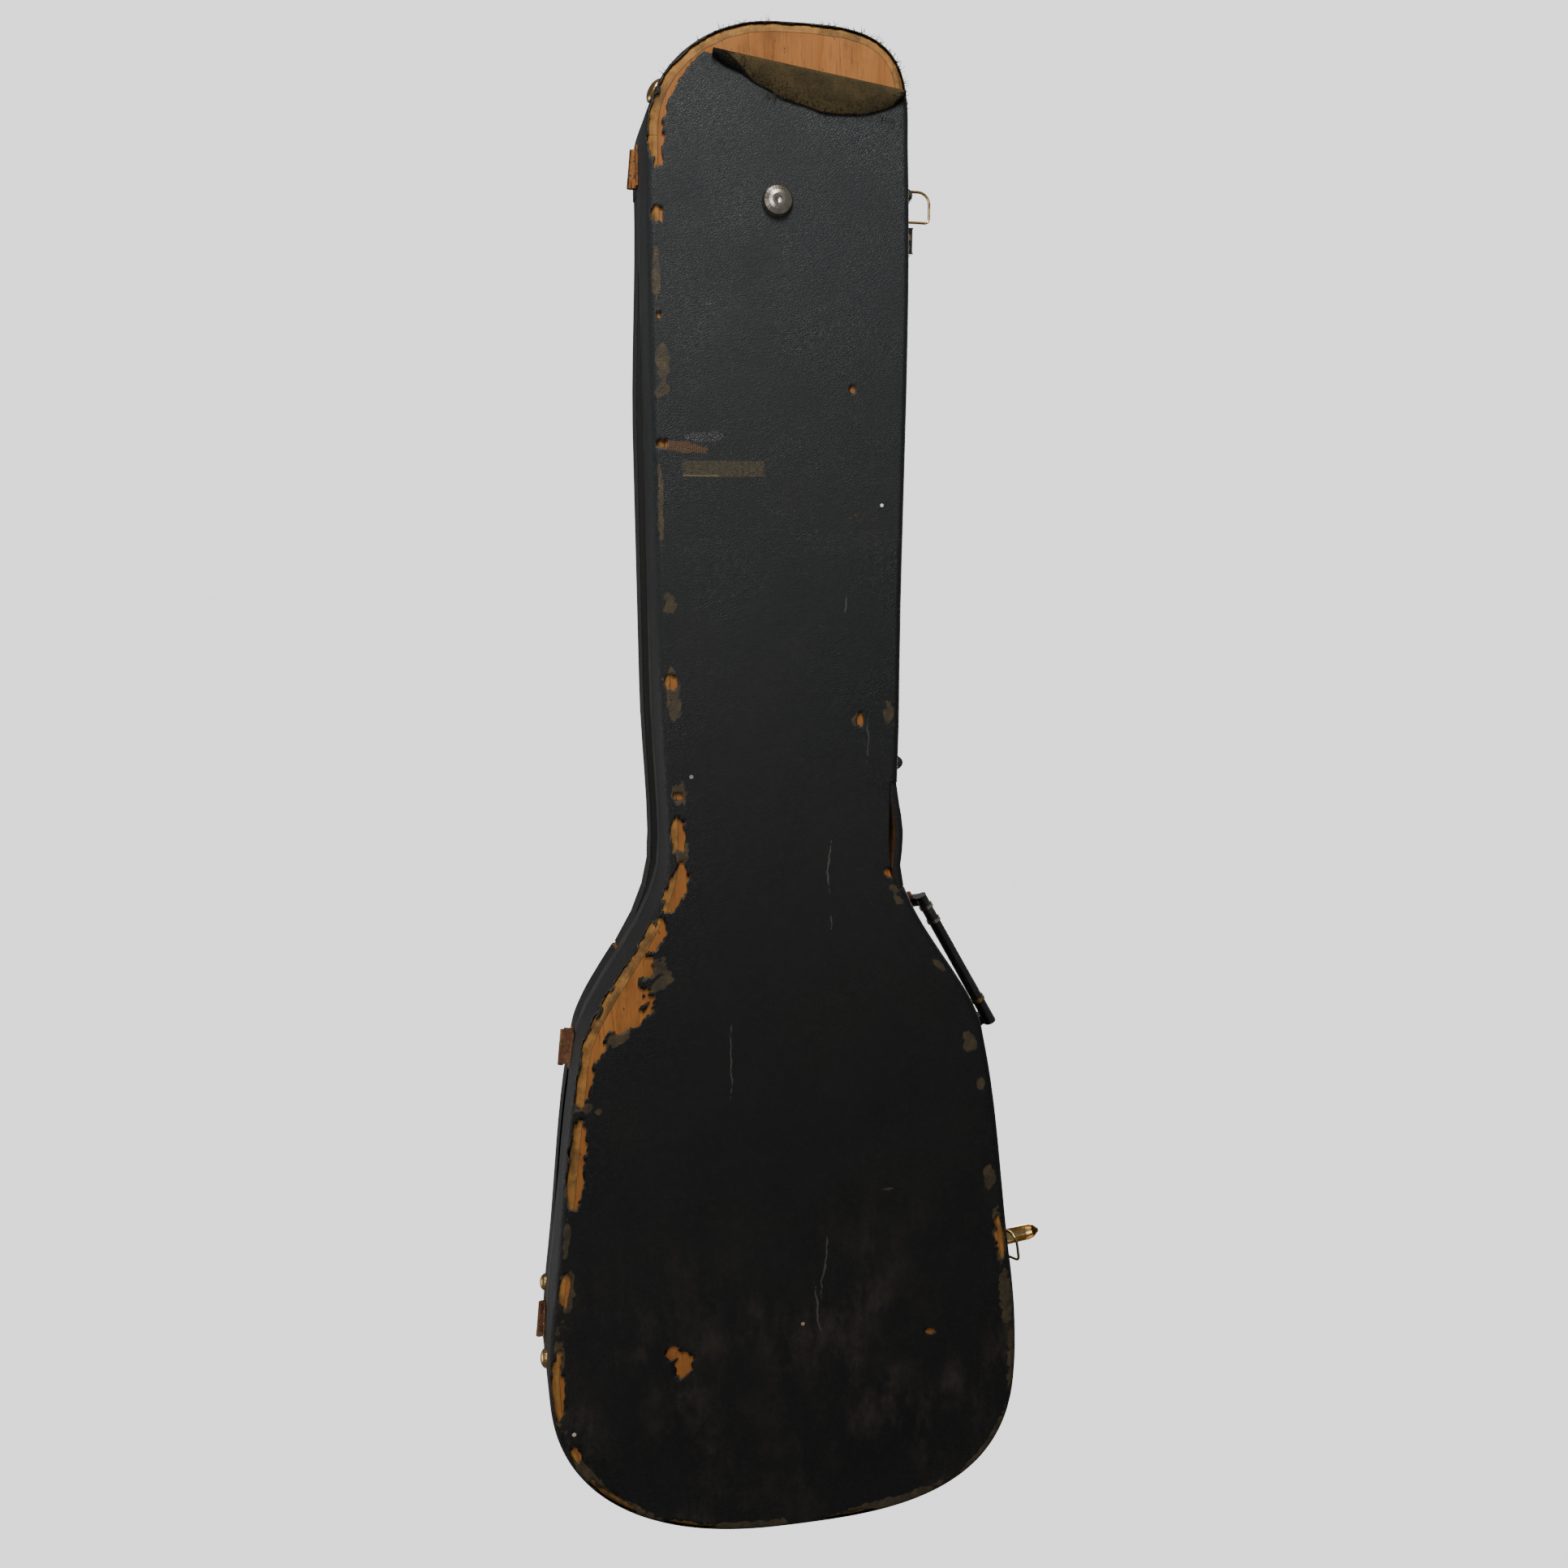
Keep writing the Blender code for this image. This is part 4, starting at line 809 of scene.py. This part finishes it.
def flap():
    """The vinyl that has peeled off the head end, folded back on itself with its cloth showing."""
    start, end = FOLD_LINE
    along = (end - start).normalized()
    back = Vector((-along.y, along.x))
    if back.x < 0:
        back = -back
    face_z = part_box("base_covering")[0].z
    bend = 0.0030
    least_shown, most_added, uneven = 0.0015, 0.0255, 0.0020
    wide, deep = 70, 26
    grid = np.zeros((wide + 1, deep + 1, 3))
    shadow = np.zeros((wide + 1, deep + 1))
    for i in range(wide + 1):
        share = i / wide
        swell = max(math.sin(math.pi * share**1.35), 0.0) ** 0.7
        shown = least_shown + most_added * swell
        shown += uneven * noise.noise(Vector((share * 9, 0, 0)))
        # Painted shadow under the curled free edge and in the dark hollows at both ends, stored as the
        # worn attribute.
        shadow[i] = np.linspace(0, 1, deep + 1) ** 2 * 0.9 + max(0.0, 0.22 - share) * 5
        shadow[i] += max(0.0, share - 0.94) * 14
        sheet_length = math.pi * bend + shown
        origin = start + (end - start) * share
        for j in range(deep + 1):
            run = sheet_length * j / deep
            if run < math.pi * bend:
                turn = run / bend
                out, lift = -bend * math.sin(turn), bend * (1 - math.cos(turn))
            else:
                left = run - math.pi * bend
                sag = left / max(shown, 1e-6)
                out, lift = left * (1 - 0.04 * sag), 2 * bend - 0.0045 * sag**2.2
            wave = 0.0006 * noise.noise(Vector((share * 14, run * 130, 4.0)))
            place = origin + back * out
            low = max(0.0004, lift + wave * min(1.0, run / 0.01))
            grid[i, j] = (place.x, place.y, face_z - 0.0002 - low)
    sheet = sheet_object("peeled_flap", grid, True, worn=np.clip(shadow, 0, 1))
    step = thicken(sheet, 0.0009)
    step.offset = 0.0
    step.material_offset = 1
    dress(sheet, BACKING, VINYL)
    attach(sheet, "base")


# ---------------------------------------------------------------- threads


def tube_mesh(name, routes, radius, look, body):
    """Many thin tapering threads as one mesh."""
    points, faces = [], []
    sides = 4
    for route in routes:
        first = len(points)
        for i, place in enumerate(route):
            ahead = route[min(i + 1, len(route) - 1)] - route[max(i - 1, 0)]
            across_it = ahead.orthogonal().normalized()
            beside = ahead.cross(across_it).normalized()
            thick = radius * (1 - 0.6 * i / (len(route) - 1))
            for k in range(sides):
                turn = math.tau * k / sides
                points.append(place + (across_it * math.cos(turn) + beside * math.sin(turn)) * thick)
        for i in range(len(route) - 1):
            for k in range(sides):
                here, there = first + i * sides, first + (i + 1) * sides
                m = (k + 1) % sides
                faces.append((here + k, here + m, there + m, there + k))
        faces.append(tuple(range(first + sides - 1, first - 1, -1)))
        last = len(points) - sides
        faces.append(tuple(range(last, last + sides)))
    mesh = bpy.data.meshes.new(name)
    mesh.from_pydata([tuple(p) for p in points], [], faces)
    mesh.shade_smooth()
    obj = placed(name, mesh)
    dress(obj, look)
    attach(obj, body)


def loose_thread(place, direction, length, curl):
    """A route of a few points that sets off in a direction and wanders."""
    route, heading = [place.copy()], direction.normalized()
    steps = 5
    for _ in range(steps):
        drift = Vector([random.uniform(-1, 1) for _ in range(3)])
        heading = (heading + drift * curl).normalized()
        route.append(route[-1] + heading * (length / steps))
    return route


def frayed_edges():
    head_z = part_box("base_covering")[0].z
    routes = []
    for side, count, reach in ((HINGE_SIDE, 60, 0.085), (LATCH_SIDE, 75, 0.062)):
        for _ in range(count):
            x = HEAD_X + reach * random.random() ** 2 + 0.0002
            place, normal = side_at(x, side, -0.0006)
            start = Vector((place[0], place[1], head_z + 0.0032 + random.uniform(-0.0008, 0.0012)))
            outward = Vector((normal[0], normal[1], -1.2 * random.random()))
            tangent = Vector((-normal[1], normal[0], 0)) * random.uniform(-0.9, 0.9)
            routes.append(loose_thread(start, outward + tangent, random.uniform(0.002, 0.0065), 0.55))
    tube_mesh("head_fringe", routes, 0.00030, THREAD, "base")

    low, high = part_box("lid_covering_sprung")
    routes = []
    for _ in range(300):
        x = random.uniform(low.x + 0.05, high.x - 0.05)
        place, normal = side_at(x, HINGE_SIDE, -TORN_DEPTH["lid"] - 0.0004)
        start = Vector((place[0], place[1], high.z - 0.0012))
        outward = Vector((normal[0], normal[1], -0.7))
        routes.append(loose_thread(start, outward, random.uniform(0.002, 0.0055), 0.8))
    tube_mesh("torn_lid_fringe", routes, 0.0006, THREAD, "lid")

    routes = []
    start_point, end_point = FOLD_LINE
    for _ in range(45):
        share = random.uniform(0.25, 0.98)
        place = start_point.lerp(end_point, share)
        start = Vector((place.x + 0.020, place.y, head_z - 0.0030))
        direction = Vector((1.0, random.uniform(-0.5, 0.5), random.uniform(-0.2, 0.5)))
        routes.append(loose_thread(start, direction, random.uniform(0.003, 0.009), 0.4))
    tube_mesh("flap_fringe", routes, 0.00025, THREAD, "base")


# ---------------------------------------------------------------- the lining and the pads


PLUSH_THICKNESS = 0.0015
PUCKER_DEPTH = 0.0012


def linings():
    """The plush on the floor and under the lid, in place of the CAD's plain sheets."""
    for node, body in (("floor_lining", "base"), ("lid_lining", "lid")):
        low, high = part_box(node)
        inset = low.x - HEAD_X
        face_z, rim_z = (high.z, low.z) if body == "base" else (low.z, high.z)
        points, _ = across(inset, PLUSH_THICKNESS, face_z, rim_z, 40)
        puckers = raggedness(points, 11.0) + 0.5 * raggedness(points, 35.0, 2.0)
        under = -1 if body == "base" else 1
        depth = np.clip(PUCKER_DEPTH / 2 * puckers + PUCKER_DEPTH / 2, 0, PUCKER_DEPTH)
        on_face = np.abs(points[:, :, 2] - face_z) < 1e-6
        points[:, :, 2] += np.where(on_face, under * depth, 0.0)
        sheet = sheet_object(f"{body}_plush", points, body == "lid")
        thicken(sheet, PLUSH_THICKNESS)
        dress(sheet, PLUSH)
        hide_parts(node)
        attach(sheet, body)


PADS = {
    "shoulder_pad_hinge": "soft_shoulder_hinge",
    "shoulder_pad_latch": "soft_shoulder_latch",
    "tail_pad": "soft_tail_pad",
    "neck_block": "soft_neck_block",
}
PAD_VOXEL = 0.0040
PAD_INSET = 0.0045  # how much smaller than its CAD solid a pad starts, all round
PAD_SWELL = 0.0060  # the furthest that the cloth may move a point
PAD_CLEARANCE = 0.0004  # how far inside its CAD solid a pad stays
PAD_LIFT = 0.0013  # how far above its CAD solid's lowest point a pad stays
PAD_PRESSURE = 4.0
CLOTH_FRAMES = 20


def soft_copy(node, name):
    """A CAD pad as a stuffed piece: its solid drawn in a little, then blown up as cloth."""
    source = nodes[node]
    obj = placed(name, source.data.copy())
    bpy.ops.object.select_all(action="DESELECT")
    bpy.context.view_layer.objects.active = obj
    obj.select_set(True)
    remesh = obj.modifiers.new("remesh", "REMESH")
    remesh.mode = "VOXEL"
    remesh.voxel_size = PAD_VOXEL
    bpy.ops.object.modifier_apply(modifier="remesh")
    co = vertex_array(obj.data)
    normals = np.array([v.normal for v in obj.data.vertices])
    co -= normals * PAD_INSET
    store(obj.data, co)
    inflate(obj, source)
    smooth_step = obj.modifiers.new("smooth", "SUBSURF")
    smooth_step.levels = smooth_step.render_levels = 1
    obj.data.shade_smooth()
    dress(obj, PLUSH)
    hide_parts(node)
    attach(obj, "base")


def vertex_array(mesh):
    co = np.zeros(len(mesh.vertices) * 3)
    mesh.vertices.foreach_get("co", co)
    return co.reshape(-1, 3)


def store(mesh, co):
    mesh.vertices.foreach_set("co", co.reshape(-1))
    mesh.update()


def held_inside(points, source):
    """The points, with each one outside the CAD solid put back just under its surface."""
    tree = BVHTree.FromObject(source, bpy.context.evaluated_depsgraph_get())
    lowest = vertex_array(source.data)[:, 2].min() + PAD_LIFT
    held = []
    for point in points:
        here = Vector(point)
        place, normal, _, _ = tree.find_nearest(here)
        if (here - place).dot(normal) > -PAD_CLEARANCE:
            here = place - normal * PAD_CLEARANCE
        held.append((here.x, here.y, max(here.z, lowest)))
    return np.array(held)


def inflate(obj, source):
    """Blows a pad up as cloth with no gravity, and keeps it inside its CAD solid."""
    before = vertex_array(obj.data)
    cloth = obj.modifiers.new("cloth", "CLOTH")
    cloth.settings.use_pressure = True
    cloth.settings.uniform_pressure_force = PAD_PRESSURE
    cloth.settings.effector_weights.gravity = 0.0
    cloth.settings.quality = 4
    scene = bpy.context.scene
    for number in range(1, CLOTH_FRAMES + 1):
        scene.frame_set(number)
    graph = bpy.context.evaluated_depsgraph_get()
    settled = obj.evaluated_get(graph).to_mesh()
    after = vertex_array(settled)
    obj.evaluated_get(graph).to_mesh_clear()
    obj.modifiers.remove(cloth)
    scene.frame_set(1)
    move = after - before
    far = np.linalg.norm(move, axis=1)[:, None]
    move *= np.minimum(1.0, PAD_SWELL / np.maximum(far, 1e-9))
    store(obj.data, held_inside(before + move, source))


def pads():
    for node, name in PADS.items():
        soft_copy(node, name)


# ---------------------------------------------------------------- rivets and nails

# Each head's distance along the case and above the joint that it is placed from.
PLATE_RIVETS = ((-0.0080, -0.0190), (0.0080, -0.0190))
KEEPER_RIVETS = ((-0.0055, 0.0315), (0.0055, 0.0315))
NAILS_ALONG = (-0.0105, 0.0, 0.0105)
NAIL_RISE = 0.0105
BASE_METAL_OUT, LID_METAL_OUT = 0.0019, 0.0015  # how far out from the case's side a head starts


def dome(name, matrix, radius, height, look, body):
    """A domed head that rises along the matrix's z."""
    mesh = bpy.data.meshes.new(name)
    shape = bmesh.new()
    rings, sides = 5, 20
    layers = []
    for i in range(rings):
        turn = math.radians(90) * i / rings
        ring = []
        for k in range(sides):
            a = math.tau * k / sides
            r = radius * math.cos(turn)
            ring.append(shape.verts.new((r * math.cos(a), r * math.sin(a), height * math.sin(turn))))
        layers.append(ring)
    top = shape.verts.new((0, 0, height))
    for lower, upper in zip(layers, layers[1:]):
        for k in range(sides):
            m = (k + 1) % sides
            shape.faces.new((lower[k], lower[m], upper[m], upper[k]))
    for k in range(sides):
        shape.faces.new((layers[-1][k], layers[-1][(k + 1) % sides], top))
    shape.faces.new(layers[0][::-1])
    shape.to_mesh(mesh)
    shape.free()
    mesh.shade_smooth()
    obj = placed(name, mesh)
    obj.matrix_world = matrix
    dress(obj, look)
    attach(obj, body)


def outward(side):
    """Turns a frame's z to point out of that side's wall."""
    return Matrix.Rotation(math.radians(-90 * side), 4, "X")


def fixings():
    """Rivets on the latch plates and keepers, and nails in the hinge leaves."""
    for place in ("head", "waist", "bout"):
        x, _, z = joints[f"{place}_lever_turn"]["pos_m"]
        on_wall = wall_frame(x, LATCH_SIDE, z)
        for i, (along, up) in enumerate(PLATE_RIVETS):
            head = on_wall @ Matrix.Translation((along, -BASE_METAL_OUT, up)) @ outward(LATCH_SIDE)
            dome(f"{place}_plate_rivet_{i}", head, 0.0019, 0.0010, NICKEL, "base")
        for i, (along, up) in enumerate(KEEPER_RIVETS):
            head = on_wall @ Matrix.Translation((along, -LID_METAL_OUT, up)) @ outward(LATCH_SIDE)
            dome(f"{place}_keeper_rivet_{i}", head, 0.0015, 0.0008, NICKEL, "lid")
    seam = joints["lid_hinge"]["pos_m"][2]
    leaves = (("base", -NAIL_RISE, BASE_METAL_OUT), ("lid", NAIL_RISE, LID_METAL_OUT))
    for place in ("head", "shoulder", "bout"):
        low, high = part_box(f"hinge_{place}_base_leaf")
        on_wall = wall_frame((low.x + high.x) / 2, HINGE_SIDE, seam)
        look = COPPER if place == "head" else RUST
        for body, up, out in leaves:
            for i, along in enumerate(NAILS_ALONG):
                head = on_wall @ Matrix.Translation((along, out, up)) @ outward(HINGE_SIDE)
                name = f"hinge_{place}_{body}_nail_{i}"
                dome(name, head, 0.0017, 0.0008, look, body)


# ---------------------------------------------------------------- floor, light and camera


def floor():
    """A pale floor that is seen from above only, so the camera can look up at the base."""
    mesh = bpy.data.meshes.new("floor")
    reach = 60.0
    corners = [(-reach, -reach, 0), (reach, -reach, 0), (reach, reach, 0), (-reach, reach, 0)]
    mesh.from_pydata(corners, [], [(0, 1, 2, 3)])
    obj = placed("floor", mesh)
    n = Nodes("floor")
    n.finish(colour=(0.62, 0.61, 0.60), rough=0.9)
    n.shader.inputs["Emission Color"].default_value = (0.80, 0.80, 0.80, 1.0)
    n.shader.inputs["Emission Strength"].default_value = 0.55
    tree = n.tree
    behind = tree.nodes.new("ShaderNodeNewGeometry").outputs["Backfacing"]
    clear = tree.nodes.new("ShaderNodeBsdfTransparent").outputs[0]
    mixed = tree.nodes.new("ShaderNodeMixShader")
    tree.links.new(behind, mixed.inputs[0])
    tree.links.new(n.shader.outputs[0], mixed.inputs[1])
    tree.links.new(clear, mixed.inputs[2])
    tree.links.new(mixed.outputs[0], tree.nodes["Material Output"].inputs["Surface"])
    dress(obj, n.material)
    obj.location.z = -0.0002
    obj.visible_shadow = False
    obj.visible_diffuse = False
    obj.visible_glossy = False


def area_light(name, place, target, size, power, colour=(1.0, 1.0, 1.0)):
    data = bpy.data.lights.new(name, "AREA")
    data.shape = "DISK"
    data.size = size
    data.energy = power
    data.color = colour
    obj = placed(name, data)
    obj.location = place
    obj.rotation_euler = (Vector(target) - Vector(place)).to_track_quat("-Z", "Y").to_euler()


def studio():
    world = bpy.data.worlds.new("studio")
    bpy.context.scene.world = world
    world.use_nodes = True
    tree = world.node_tree
    background = tree.nodes["Background"]
    background.inputs["Color"].default_value = (0.80, 0.80, 0.80, 1.0)
    seen = tree.nodes.new("ShaderNodeLightPath").outputs["Is Camera Ray"]
    strength = tree.nodes.new("ShaderNodeMapRange")
    strength.inputs["To Min"].default_value = 0.22
    strength.inputs["To Max"].default_value = 2.2
    tree.links.new(seen, strength.inputs["Value"])
    tree.links.new(strength.outputs["Result"], background.inputs["Strength"])
    area_light("below_head", (-1.9, 0.25, -1.3), (-0.45, 0, 0.03), 0.9, 54, (1.0, 0.98, 0.95))
    area_light("below_front", (-0.5, 0.9, -2.0), (0.0, 0, 0.03), 1.4, 20)
    area_light("above", (-0.4, -1.2, 2.4), (0, 0, 0.05), 2.0, 60)
    area_light("above_back", (0.6, 2.6, 1.0), (0, 0, 0.05), 1.6, 22)


def camera():
    data = bpy.data.cameras.new("camera")
    data.sensor_width = 36.0
    data.lens = 36.1
    obj = placed("camera", data)
    obj.location = (-0.1747, MIDLINE + 0.2536, -1.2520)
    obj.rotation_euler = [math.radians(a) for a in (173.50, 11.43, -89.42)]
    bpy.context.scene.camera = obj


dress_frame()
coverings()
flap()
frayed_edges()
linings()
pads()
fixings()
floor()
studio()
camera()
